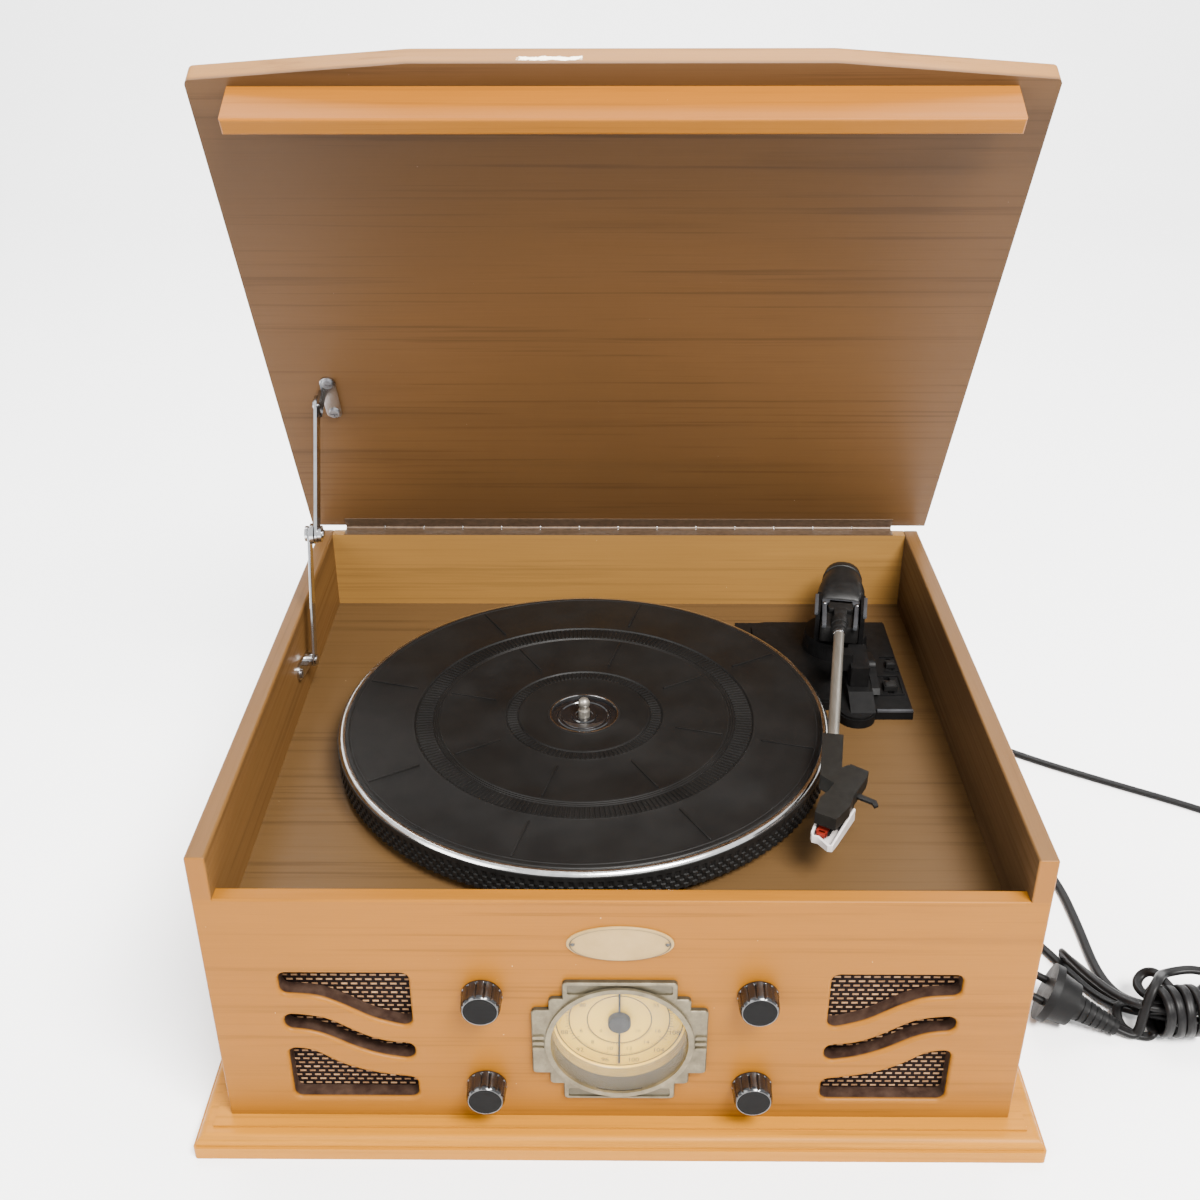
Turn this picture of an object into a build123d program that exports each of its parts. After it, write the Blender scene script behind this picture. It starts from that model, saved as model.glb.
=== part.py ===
from build123d import *
import os
from math import cos, sin, radians, degrees, atan2, sqrt, tan, hypot, pi

os.makedirs("parts", exist_ok=True)

# ---------------------------------------------------------------- driving dimensions (mm)
# X to the right, Y to the back, Z up. Origin: on the floor, under the middle of the cabinet box.
W = 430.0            # cabinet width
D = 364.0            # cabinet depth
H = 196.0            # top edge of the side boards
SIDE_T = 10.5
BASE_T = 15.0
BASE_O = 17.7        # how far the moulded base stands out, front and sides
FRONT_T = 9.5
FRONT_H = 169.4      # top edge of the front board
BACK_T = 8.0
DECK_Z = 140.0       # top of the deck
DECK_T = 6.0
LID_W = 440.0
LID_T = 13.6
LID_L = 367.0        # length at the two sides
LID_LC = 376.5       # length along the middle of the bowed front edge
LID_OPEN = 63.3      # opening angle at rest
LID_GAP = 1.4        # gap under the closed lid, which holds the hinge leaves
PIN_OFF = 2.2        # hinge pin axis behind the back face
BAR_H = 26.5
BAR_T = 9.2
BAR_L = 398.0
BAR_V = 363.6        # front face of the bar, from the lid's back edge

FY = -D / 2          # front face
BY = D / 2           # back face
IN = W / 2 - SIDE_T  # inner face of the sides

PLAT_X, PLAT_Y = -21.3, -6.9
PLAT_R = 149.0
ARM_X, ARM_Y = 150.0, 103.0
ARM_DIR = 9.8        # degrees the arm leans in from -Y
ARM_Z = DECK_Z + 38.0
TUBE_R = 3.4

KNOB_X = 72.0
KNOB_Z = (105.8, 39.6)
KNOB_R = 11.0
KNOB_L = 11.9
DIAL_Z = 74.2

CORD_D = 5.4
CORD_R = CORD_D / 2


def save(p, label):
    p.part.label = label
    export_step(p.part, "parts/" + label + ".step")


def front(offset):
    # sketch plane parallel to the front face, x to the right, y up, looking from the front
    return Plane(origin=(0, offset, 0), x_dir=(1, 0, 0), z_dir=(0, -1, 0))


# ---------------------------------------------------------------- base board with ovolo edge
with BuildPart() as base_board:
    with BuildSketch(Plane.XY):
        with Locations((0, -BASE_O / 2)):
            Rectangle(W + 2 * BASE_O, D + BASE_O)
    extrude(amount=8)
    with BuildSketch(Plane.XY.offset(8)):
        with Locations((0, -(BASE_O - 1.5) / 2)):
            Rectangle(W + 2 * (BASE_O - 1.5), D + BASE_O - 1.5)
    extrude(amount=5.6)
    top_edges = base_board.edges().filter_by_position(Axis.Z, 13.6, 13.6)
    fillet([e for e in top_edges if e.center().Y < BY - 1], 5.0)
    with BuildSketch(Plane.XY.offset(13.6)):
        with Locations((0, -4)):
            Rectangle(W + 16, D + 8)
    extrude(amount=BASE_T - 13.6)
    fillet(base_board.edges().filter_by(Axis.Z).filter_by_position(Axis.Y, FY - BASE_O - 0.1, FY - BASE_O + 0.1), 2.0)
save(base_board, "base_board")

# ---------------------------------------------------------------- side boards
for label, sx in (("left_side", -1), ("right_side", 1)):
    with BuildPart() as side:
        with BuildSketch(Plane.XY.offset(BASE_T)):
            with Locations((sx * (W / 2 - SIDE_T / 2), 0)):
                Rectangle(SIDE_T, D)
        extrude(amount=H - BASE_T)
        fillet(side.edges().filter_by(Axis.Y).group_by(Axis.Z)[-1], 1.4)
        fillet(side.edges().filter_by(Axis.Z).filter_by_position(Axis.Y, FY - 0.1, FY + 0.1).sort_by(Axis.X)[0 if sx < 0 else -1], 1.2)
        with BuildSketch(Plane.XY.offset(BASE_T - 1)):
            with Locations((sx * (W / 2 - SIDE_T / 2), FY)):
                Rectangle(SIDE_T + 2, 2 * FRONT_T)
        extrude(amount=FRONT_H - BASE_T + 1, mode=Mode.SUBTRACT)
    save(side, label)


# ---------------------------------------------------------------- front board with its openings
UP = [(172, 104.5), (160, 103.3), (150, 99.3), (140, 93.3), (130, 87.3), (120, 83.6)]
MID_T = [(173, 90.3), (165, 89.5), (155, 86.9), (145, 80.9), (135, 74.9), (125, 71.0), (115, 69.6)]
MID_B = [(173, 79.0), (165, 77.8), (155, 73.9), (145, 67.9), (135, 62.9), (125, 59.5), (115, 57.6)]
LOW = [(172, 65.3), (165, 63.8), (155, 57.4), (145, 51.7), (135, 48.1), (125, 45.8), (115, 44.2)]
GX0, GX1 = 109.6, 177.8


def wave(s, pts, z_out, z_in):
    return [(s * GX1, z_out)] + [(s * x, z) for x, z in pts] + [(s * GX0, z_in)]


def grille_upper(s):
    with BuildSketch(front(FY)) as sk:
        with BuildLine():
            Polyline((s * GX0, 81.8), (s * GX0, 119.8), (s * GX1, 119.8), (s * GX1, 104.9))
            Spline(*wave(s, UP, 104.9, 81.8), tangents=((-s, 0), (-s, 0)))
        make_face()
        fillet(sk.vertices(), 4.5)
    return sk


def grille_middle(s):
    with BuildSketch(front(FY)) as sk:
        with BuildLine():
            Spline(*wave(s, MID_T, 90.4, 69.5), tangents=((-s, 0), (-s, 0)))
            Spline(*wave(s, MID_B, 79.2, 57.3), tangents=((-s, 0), (-s, 0)))
            Line((s * GX1, 90.4), (s * GX1, 79.2))
            Line((s * GX0, 69.5), (s * GX0, 57.3))
        make_face()
        fillet(sk.vertices(), 5.0)
    return sk


def grille_lower(s):
    with BuildSketch(front(FY)) as sk:
        with BuildLine():
            Polyline((s * GX0, 44.0), (s * GX0, 28.0), (s * GX1, 28.0), (s * GX1, 65.6))
            Spline(*wave(s, LOW, 65.6, 44.0), tangents=((-s, 0), (-s, 0)))
        make_face()
        fillet(sk.vertices(), 4.5)
    return sk


grilles = [f(s) for s in (-1, 1) for f in (grille_upper, grille_middle, grille_lower)]
with BuildPart() as front_panel:
    with BuildSketch(Plane.XY.offset(BASE_T)):
        with Locations((0, FY + FRONT_T / 2)):
            Rectangle(2 * IN, FRONT_T)
    extrude(amount=FRONT_H - BASE_T)
    fillet(front_panel.edges().filter_by(Axis.X).group_by(Axis.Z)[-1], 1.2)
    with BuildSketch(Plane.XY.offset(BASE_T)):
        with Locations((-(IN + SIDE_T / 2), FY + FRONT_T / 2), (IN + SIDE_T / 2, FY + FRONT_T / 2)):
            Rectangle(SIDE_T, FRONT_T)
    extrude(amount=FRONT_H - BASE_T)
    fillet([e for e in front_panel.edges().filter_by(Axis.Z) if abs(e.center().Y - FY) < 0.1 and abs(e.center().X) > W / 2 - 0.1], 1.2)
    for g in grilles:
        extrude(g.sketch, amount=-FRONT_T, mode=Mode.SUBTRACT)
    lips = [e for e in front_panel.edges() if abs(e.center().Y - FY) < 1e-3 and 25 < e.center().Z < 125 and 105 < abs(e.center().X) < 182]
    fillet(lips, 1.9)
    with BuildSketch(front(FY)):
        with Locations((0, DIAL_Z)):
            Circle(41.0)
        with Locations(*[(sx * KNOB_X, z) for sx in (-1, 1) for z in KNOB_Z]):
            Circle(3.8)
    extrude(amount=-FRONT_T, mode=Mode.SUBTRACT)
save(front_panel, "front_panel")

# ---------------------------------------------------------------- back board with vent slots and cord hole
CORD_X, CORD_Z = 120.0, 27.0
with BuildPart() as back_panel:
    with BuildSketch(Plane.XY.offset(BASE_T)):
        with Locations((0, BY - BACK_T / 2)):
            Rectangle(2 * IN, BACK_T)
    extrude(amount=H - BASE_T)
    with BuildSketch(front(BY)):
        with GridLocations(14, 34, 12, 2):
            SlotOverall(26, 5, rotation=90)
        with Locations((CORD_X, CORD_Z)):
            Circle(5.2)
    extrude(amount=BACK_T, both=True, mode=Mode.SUBTRACT)
save(back_panel, "back_panel")

# ---------------------------------------------------------------- deck board
MOTOR_X, MOTOR_Y = PLAT_X - 78.0, PLAT_Y + 78.0
with BuildPart() as deck_board:
    with BuildSketch(Plane.XY.offset(DECK_Z - DECK_T)):
        with Locations((0, (FY + FRONT_T + BY - BACK_T) / 2)):
            Rectangle(2 * IN, D - FRONT_T - BACK_T)
        with Locations((PLAT_X, PLAT_Y)):
            Circle(11.0, mode=Mode.SUBTRACT)
        with Locations((MOTOR_X, MOTOR_Y)):
            Circle(9.0, mode=Mode.SUBTRACT)
        with Locations((ARM_X, ARM_Y)):
            Circle(12.0, mode=Mode.SUBTRACT)
    extrude(amount=DECK_T)
save(deck_board, "deck_board")

# ---------------------------------------------------------------- lid, built on its open plane
A = radians(LID_OPEN)
PIN_Y, PIN_Z = BY + PIN_OFF, H + LID_GAP / 2
N = (0, sin(A), cos(A))            # outward normal of the open lid
YD = (0, cos(A), -sin(A))          # from the front edge towards the hinge
O = (0, PIN_Y - PIN_OFF * YD[1] + LID_GAP / 2 * N[1], PIN_Z - PIN_OFF * YD[2] + LID_GAP / 2 * N[2])


def lid_plane(off=0.0):
    return Plane(origin=(0, O[1] + off * N[1], O[2] + off * N[2]), x_dir=(1, 0, 0), z_dir=N)


def lid_point(v, n):
    return (O[1] - v * YD[1] + n * N[1], O[2] - v * YD[2] + n * N[2])


with BuildPart() as lid_panel:
    with BuildSketch(lid_plane()) as lid_sk:
        with BuildLine():
            Polyline((-LID_W / 2, 0), (LID_W / 2, 0), (LID_W / 2, -LID_L), (107, -LID_LC), (-107, -LID_LC), (-LID_W / 2, -LID_L), close=True)
        make_face()
        vs = lid_sk.vertices().sort_by(Axis.Y)
        fillet([v for v in lid_sk.vertices() if abs(v.Y + LID_L) < 1], 3.0)
        fillet([v for v in lid_sk.vertices() if abs(v.Y + LID_LC) < 1], 60.0)
    extrude(amount=LID_T)
    outer = [e for e in lid_panel.edges() if abs((e.center().Y - O[1]) * N[1] + (e.center().Z - O[2]) * N[2] - LID_T) < 0.01]
    fillet(outer, 1.7)
save(lid_panel, "lid_panel")

with BuildPart() as lid_front_bar:
    with BuildSketch(lid_plane()):
        with Locations((0, -(BAR_V - BAR_T / 2))):
            Rectangle(BAR_L, BAR_T)
    extrude(amount=-BAR_H)
    low = [e for e in lid_front_bar.edges() if abs((e.center().Y - O[1]) * N[1] + (e.center().Z - O[2]) * N[2] + BAR_H) < 0.01]
    fillet(low, 1.3)
save(lid_front_bar, "lid_front_bar")

# ---------------------------------------------------------------- piano hinge
HINGE_L, KN, KR, PIN_R, BORE_R = 392.0, 14, 1.75, 0.9, 0.95
KW = HINGE_L / KN
with BuildPart() as hinge_pin:
    with BuildSketch(Plane(origin=(-HINGE_L / 2, PIN_Y, PIN_Z), x_dir=(0, 1, 0), z_dir=(1, 0, 0))):
        Circle(PIN_R)
    extrude(amount=HINGE_L)
save(hinge_pin, "hinge_pin")

with BuildPart() as hinge_cabinet_leaf:
    with BuildSketch(Plane.XY.offset(H)):
        with Locations((0, (BY - BACK_T + PIN_Y - 1.3) / 2)):
            Rectangle(HINGE_L, PIN_Y - 1.3 - BY + BACK_T)
    extrude(amount=0.55)
    for i in range(0, KN, 2):
        with BuildSketch(Plane(origin=(-HINGE_L / 2 + i * KW + 0.25, PIN_Y, PIN_Z), x_dir=(0, 1, 0), z_dir=(1, 0, 0))):
            Circle(KR)
        extrude(amount=KW - 0.5)
    for i in range(1, KN, 2):
        with BuildSketch(Plane(origin=(-HINGE_L / 2 + i * KW - 0.25, PIN_Y, PIN_Z), x_dir=(0, 1, 0), z_dir=(1, 0, 0))):
            Circle(KR + 0.35)
        extrude(amount=KW + 0.5, mode=Mode.SUBTRACT)
    with BuildSketch(Plane(origin=(-HINGE_L / 2 - 1, PIN_Y, PIN_Z), x_dir=(0, 1, 0), z_dir=(1, 0, 0))):
        Circle(BORE_R)
    extrude(amount=HINGE_L + 2, mode=Mode.SUBTRACT)
save(hinge_cabinet_leaf, "hinge_cabinet_leaf")

with BuildPart() as hinge_lid_leaf:
    with BuildSketch(lid_plane()):
        with Locations((0, (PIN_OFF - 1.3 - BACK_T) / 2)):
            Rectangle(HINGE_L, PIN_OFF - 1.3 + BACK_T)
    extrude(amount=-0.55)
    for i in range(1, KN, 2):
        with BuildSketch(Plane(origin=(-HINGE_L / 2 + i * KW + 0.25, PIN_Y, PIN_Z), x_dir=(0, 1, 0), z_dir=(1, 0, 0))):
            Circle(KR)
        extrude(amount=KW - 0.5)
    for i in range(0, KN, 2):
        with BuildSketch(Plane(origin=(-HINGE_L / 2 + i * KW - 0.25, PIN_Y, PIN_Z), x_dir=(0, 1, 0), z_dir=(1, 0, 0))):
            Circle(KR + 0.35)
        extrude(amount=KW + 0.5, mode=Mode.SUBTRACT)
    with BuildSketch(Plane(origin=(-HINGE_L / 2 - 1, PIN_Y, PIN_Z), x_dir=(0, 1, 0), z_dir=(1, 0, 0))):
        Circle(BORE_R)
    extrude(amount=HINGE_L + 2, mode=Mode.SUBTRACT)
save(hinge_lid_leaf, "hinge_lid_leaf")

# ---------------------------------------------------------------- folding lid stay on the left
LOW_P = (53.0, 166.0)                      # lower pivot (Y, Z)
UP_P = lid_point(135.5, -6.5)              # upper pivot on the lid
ARM_LEN = 82.4
dy, dz = UP_P[0] - LOW_P[0], UP_P[1] - LOW_P[1]
dist = hypot(dy, dz)
half = sqrt(max(ARM_LEN ** 2 - (dist / 2) ** 2, 0.01))
ELBOW = (LOW_P[0] + dy / 2 - dz / dist * half, LOW_P[1] + dz / 2 + dy / dist * half)
# closed position, to find the two coupled ratios
cy, cz = UP_P[0] - PIN_Y, UP_P[1] - PIN_Z
UP_C = (PIN_Y + cy * cos(A) - cz * sin(A), PIN_Z + cy * sin(A) + cz * cos(A))
ey, ez = UP_C[0] - LOW_P[0], UP_C[1] - LOW_P[1]
ed = hypot(ey, ez)
eh = sqrt(ARM_LEN ** 2 - (ed / 2) ** 2)
ELBOW_C = (LOW_P[0] + ey / 2 - ez / ed * eh, LOW_P[1] + ez / 2 + ey / ed * eh)
low_turn = degrees(atan2(ELBOW_C[1] - LOW_P[1], ELBOW_C[0] - LOW_P[0]) - atan2(ELBOW[1] - LOW_P[1], ELBOW[0] - LOW_P[0])) % 360
up_turn = degrees(atan2(ELBOW_C[1] - UP_C[1], ELBOW_C[0] - UP_C[0]) - atan2(ELBOW[1] - UP_P[1], ELBOW[0] - UP_P[0]))
up_turn = (up_turn + 180) % 360 - 180
print("stay lower pivot", LOW_P, "upper pivot", UP_P, "elbow", ELBOW, "closed elbow", ELBOW_C, "closed upper", UP_C)
print("stay ratios: lower", low_turn / LID_OPEN, "upper on lid", (up_turn - LID_OPEN) / LID_OPEN, "turns", low_turn, up_turn)


def yz(x):
    # sketch plane facing +X: sketch x is Y, sketch y is Z
    return Plane(origin=(x, 0, 0), x_dir=(0, 1, 0), z_dir=(1, 0, 0))


def link(x0, thick, a, b, width, hole_a, hole_b, boss_b=None):
    ang = degrees(atan2(b[1] - a[1], b[0] - a[0]))
    length = hypot(b[0] - a[0], b[1] - a[1])
    with BuildPart() as p:
        with BuildSketch(yz(x0)):
            with Locations(((a[0] + b[0]) / 2, (a[1] + b[1]) / 2)):
                SlotCenterToCenter(length, width, rotation=ang)
            if hole_a:
                with Locations(a):
                    Circle(hole_a, mode=Mode.SUBTRACT)
            if hole_b:
                with Locations(b):
                    Circle(hole_b, mode=Mode.SUBTRACT)
        extrude(amount=thick)
        chamfer([e for e in p.edges().filter_by(GeomType.LINE) if e.length > 30], 0.3)
        if boss_b:
            for bx, br, bt in boss_b:
                with BuildSketch(yz(bx)):
                    with Locations(b):
                        Circle(br)
                extrude(amount=bt)
    return p


# wall bracket: plate on the side board with a pivot post
with BuildPart() as stay_wall_bracket:
    with BuildSketch(yz(-IN)):
        with Locations((LOW_P[0] - 4, LOW_P[1] - 2)):
            SlotOverall(36, 12, rotation=-12)
    extrude(amount=1.6)
    with BuildSketch(yz(-IN + 1.6)):
        with Locations(LOW_P):
            Circle(4.5)
    extrude(amount=4.4)
    with BuildSketch(yz(-IN + 6.0)):
        with Locations(LOW_P):
            Circle(2.2)
    extrude(amount=2.9)
    with BuildSketch(yz(-IN + 8.3)):
        with Locations(LOW_P):
            Circle(3.4)
    extrude(amount=0.8)
save(stay_wall_bracket, "stay_wall_bracket")

# lower arm turns on the post, with the friction disc at its elbow end
lower = link(-IN + 6.3, 1.6, LOW_P, ELBOW, 9.0, 2.25, None, boss_b=((-IN + 7.9, 6.6, 2.6), (-IN + 4.6, 5.0, 1.7)))
save(lower, "stay_lower_arm")
# upper arm, with its own rivet head on the inner side
upper = link(-IN + 10.9, 2.0, UP_P, ELBOW, 11.5, 2.25, None, boss_b=((-IN + 12.9, 5.2, 2.2), (-IN + 15.1, 2.6, 1.2)))
save(upper, "stay_upper_arm")

# lid bracket: foot on the lid's inner face, upright ear, pivot post
EAR_X = -IN + 13.3
with BuildPart() as stay_lid_bracket:
    with BuildSketch(lid_plane(0)):
        with Locations((-184.3, -135.5)):
            SlotOverall(37, 10, rotation=90)
    extrude(amount=-1.6)
    ear = Plane(origin=(EAR_X, O[1], O[2]), x_dir=YD, z_dir=(1, 0, 0))
    with BuildSketch(ear):
        with Locations((-135.5, -6.0)):
            Rectangle(12, 12.0)
    extrude(amount=1.6)
    with BuildSketch(yz(EAR_X - 2.7)):
        with Locations(UP_P):
            Circle(2.2)
    extrude(amount=2.8)
    with BuildSketch(yz(EAR_X - 3.4)):
        with Locations(UP_P):
            Circle(3.4)
    extrude(amount=0.7)
    with BuildSketch(lid_plane(0)):
        with Locations(((EAR_X - 179.5) / 2, -135.5)):
            Rectangle(abs(EAR_X + 179.5), 12)
    extrude(amount=-1.6)
save(stay_lid_bracket, "stay_lid_bracket")

with BuildPart() as stay_lid_screws:
    with BuildSketch(lid_plane(-1.6)):
        with Locations((-184.3, -149.0), (-184.3, -122.0)):
            Circle(3.3)
    extrude(amount=-1.5)
    with BuildSketch(lid_plane(-2.2)):
        with Locations((-184.3, -149.0), (-184.3, -122.0)):
            Circle(0.9)
            Rectangle(4.4, 0.9)
            Rectangle(0.9, 4.4)
    extrude(amount=-1.0, mode=Mode.SUBTRACT)
save(stay_lid_screws, "stay_lid_screws")

SCR = [(LOW_P[0] - 18.5, LOW_P[1] + 0.8), (LOW_P[0] + 10.5, LOW_P[1] - 5.2)]
with BuildPart() as stay_wall_screws:
    with BuildSketch(yz(-IN + 1.6)):
        with Locations(*SCR):
            Circle(3.0)
    extrude(amount=1.3)
    with BuildSketch(yz(-IN + 2.2)):
        with Locations(*SCR):
            Rectangle(4.0, 0.8)
            Rectangle(0.8, 4.0)
    extrude(amount=0.9, mode=Mode.SUBTRACT)
save(stay_wall_screws, "stay_wall_screws")

# ---------------------------------------------------------------- turntable
PZ = DECK_Z + 5.5
PLAT_TOP = DECK_Z + 21.0
with BuildPart() as platter:
    with BuildSketch(Plane.XZ) as psk:
        with BuildLine():
            Polyline((4.1, DECK_Z + 7), (14, DECK_Z + 7), (14, PLAT_TOP - 3.2), (48, PLAT_TOP - 3.2), (48, DECK_Z + 8), (51, DECK_Z + 8), (51, PLAT_TOP - 3.2), (145, PLAT_TOP - 3.2), (145, PZ), (PLAT_R - 0.6, PZ), (PLAT_R, PZ + 0.6), (PLAT_R, DECK_Z + 20), (146.2, DECK_Z + 24.0), (145.0, DECK_Z + 24.0), (144.8, PLAT_TOP), (4.1, PLAT_TOP), close=True)
        make_face()
    revolve(axis=Axis.Z)
platter.part.position = (PLAT_X, PLAT_Y, 0)
save(platter, "platter")

MT = DECK_Z + 24.6
mat_line = [(21.5, PLAT_TOP), (144.5, PLAT_TOP), (144.5, MT - 0.5), (144.0, MT), (104.0, MT), (102.4, MT - 1.2), (90.5, MT - 1.2), (90.2, MT - 0.4), (48.8, MT - 0.4), (47.4, MT - 1.4), (40.0, MT - 1.4), (39.6, MT - 0.9), (32.5, MT - 0.9), (32.0, MT - 1.4), (21.5, MT - 1.4)]
with BuildPart() as platter_mat:
    with BuildSketch(Plane.XZ):
        with BuildLine():
            Polyline(*mat_line, close=True)
        make_face()
    revolve(axis=Axis.Z)
platter_mat.part.position = (PLAT_X, PLAT_Y, 0)
save(platter_mat, "platter_mat")

with BuildPart() as spindle:
    with BuildSketch(Plane.XZ):
        with BuildLine():
            Polyline((2.4, DECK_Z + 29.4), (2.4, DECK_Z + 28.0), (3.55, DECK_Z + 27.4), (3.55, DECK_Z - 18), (0, DECK_Z - 18), (0, DECK_Z + 35.8))
            ThreePointArc((0, DECK_Z + 35.8), (3.3, DECK_Z + 33.5), (2.4, DECK_Z + 29.4))
        make_face()
    revolve(axis=Axis.Z)
spindle.part.position = (PLAT_X, PLAT_Y, 0)
save(spindle, "spindle")

with BuildPart() as spindle_bearing:
    with BuildSketch(Plane.XY.offset(DECK_Z - 26)):
        Circle(10.6)
    extrude(amount=26)
    with BuildSketch(Plane.XY.offset(DECK_Z)):
        Circle(9.0)
    extrude(amount=6.6)
    with BuildSketch(Plane.XY.offset(DECK_Z - DECK_T - 3)):
        Circle(19)
    extrude(amount=3)
    with BuildSketch(Plane.XY.offset(DECK_Z + 6.6)):
        Circle(3.62)
    extrude(amount=-24.6, mode=Mode.SUBTRACT)
spindle_bearing.part.position = (PLAT_X, PLAT_Y, 0)
save(spindle_bearing, "spindle_bearing")

with BuildPart() as drive_motor:
    with BuildSketch(Plane.XY.offset(DECK_Z - DECK_T - 28)):
        Circle(18.5)
    extrude(amount=28)
    fillet(drive_motor.edges().group_by(Axis.Z)[0], 2.0)
    with BuildSketch(Plane.XY.offset(DECK_Z - DECK_T)):
        Circle(6.0)
        Circle(1.15, mode=Mode.SUBTRACT)
    extrude(amount=2.5)
    with BuildSketch(Plane.XY.offset(DECK_Z - DECK_T)):
        Circle(1.15)
    extrude(amount=-12, mode=Mode.SUBTRACT)
drive_motor.part.position = (MOTOR_X, MOTOR_Y, 0)
save(drive_motor, "drive_motor")

PUL_R = 6.0
with BuildPart() as motor_pulley:
    with BuildSketch(Plane.XY.offset(DECK_Z - 16)):
        Circle(1.08)
    extrude(amount=31)
    with BuildSketch(Plane.XY.offset(DECK_Z + 7.5)):
        Circle(PUL_R + 1.2)
    extrude(amount=1.0)
    with BuildSketch(Plane.XY.offset(DECK_Z + 8.5)):
        Circle(PUL_R)
    extrude(amount=6.0)
    with BuildSketch(Plane.XY.offset(DECK_Z + 14.5)):
        Circle(PUL_R + 1.2)
    extrude(amount=1.0)
motor_pulley.part.position = (MOTOR_X, MOTOR_Y, 0)
save(motor_pulley, "motor_pulley")

# flat belt round the platter's inner ring and the pulley, held 0.3 off both
mx, my = MOTOR_X - PLAT_X, MOTOR_Y - PLAT_Y
cd = hypot(mx, my)
ma = degrees(atan2(my, mx))


def belt_outline(r_big, r_small):
    # hull of two circles as two tangent lines and two arcs, big one at the origin, small one along +X
    b = degrees(atan2(sqrt(cd ** 2 - (r_big - r_small) ** 2), r_big - r_small))
    with BuildSketch(Plane.XY) as sk:
        with BuildLine():
            c, s = cos(radians(b)), sin(radians(b))
            p1, p2 = (r_big * c, r_big * s), (cd + r_small * c, r_small * s)
            p3, p4 = (cd + r_small * c, -r_small * s), (r_big * c, -r_big * s)
            Line(p1, p2)
            ThreePointArc(p2, (cd + r_small, 0), p3)
            Line(p3, p4)
            ThreePointArc(p4, (-r_big, 0), p1)
        make_face()
    return sk


outer_b, inner_b = belt_outline(52.0, PUL_R + 1.0), belt_outline(51.3, PUL_R + 0.3)
with BuildPart() as drive_belt:
    extrude(outer_b.sketch, amount=4.0)
    extrude(inner_b.sketch, amount=4.0, mode=Mode.SUBTRACT)
drive_belt.part.location = Location((PLAT_X, PLAT_Y, DECK_Z + 9.5), (0, 0, ma))
save(drive_belt, "drive_belt")

# ---------------------------------------------------------------- tonearm deck plate
PLATE_H = 7.5
with BuildPart() as tonearm_base_plate:
    with BuildSketch(Plane.XY.offset(DECK_Z)) as plate_sk:
        with BuildLine():
            Polyline((82.5, 96), (82.5, 136), (187.5, 136), (187.5, 23.3), (163.5, 23.3), (163.5, 25), (139.5, 25), (139.5, 34), (118, 34), close=True)
        make_face()
        with Locations((151.5, 25)):
            Circle(12.0)
        with Locations((PLAT_X, PLAT_Y)):
            Circle(151.6, mode=Mode.SUBTRACT)
    extrude(amount=PLATE_H - 1.6)
    with BuildSketch(Plane.XY.offset(DECK_Z + PLATE_H - 1.6)):
        with BuildLine():
            Polyline((93.5, 96), (93.5, 128), (97.5, 132.6), (103, 134.5), (186.3, 134.5), (186.3, 24.5), (163.0, 24.5), (163.0, 25), (140.5, 25), (140.5, 35), (118, 35), close=True)
        make_face()
        with Locations((151.5, 25)):
            Circle(11.2)
        with Locations((PLAT_X, PLAT_Y)):
            Circle(153.0, mode=Mode.SUBTRACT)
    extrude(amount=1.6)
    # slots for the two small levers
    with BuildSketch(Plane.XY.offset(DECK_Z + PLATE_H)):
        with Locations((176.5, 52)):
            Rectangle(4.0, 20)
        with Locations((181.5, 78)):
            Rectangle(3.0, 15)
    extrude(amount=-4.0, mode=Mode.SUBTRACT)
    # hole for the arm's turret
    with BuildSketch(Plane.XY.offset(DECK_Z)):
        with Locations((ARM_X, ARM_Y)):
            Circle(11.0)
    extrude(amount=PLATE_H, mode=Mode.SUBTRACT)
save(tonearm_base_plate, "tonearm_base_plate")

TUR_TOP = DECK_Z + 19.5
with BuildPart() as tonearm_turret:
    with BuildSketch(Plane.XY.offset(DECK_Z + PLATE_H)):
        with Locations((ARM_X - 2, ARM_Y)):
            Circle(22.0)
    extrude(amount=TUR_TOP - DECK_Z - PLATE_H, taper=6)
    with BuildSketch(Plane.XY.offset(DECK_Z - 9)):
        with Locations((ARM_X, ARM_Y)):
            Circle(10.6)
    extrude(amount=9 + PLATE_H)
    with BuildSketch(Plane.XY.offset(TUR_TOP)):
        with Locations((ARM_X, ARM_Y)):
            Circle(4.06)
    extrude(amount=-26, mode=Mode.SUBTRACT)
save(tonearm_turret, "tonearm_turret")

# arm-local plane: x along the arm towards the head, y to its side
AX = (-sin(radians(ARM_DIR)), -cos(radians(ARM_DIR)))
AYV = (cos(radians(ARM_DIR)), -sin(radians(ARM_DIR)))     # +X side of the arm


def arm_plane(z):
    return Plane(origin=(ARM_X, ARM_Y, z), x_dir=(AX[0], AX[1], 0), z_dir=(0, 0, 1))


def arm_side(t):
    # plane whose normal runs across the arm, sketch x along the arm, sketch y up
    return Plane(origin=(ARM_X - t * AYV[0], ARM_Y - t * AYV[1], ARM_Z), x_dir=(AX[0], AX[1], 0), z_dir=(-AYV[0], -AYV[1], 0))


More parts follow.
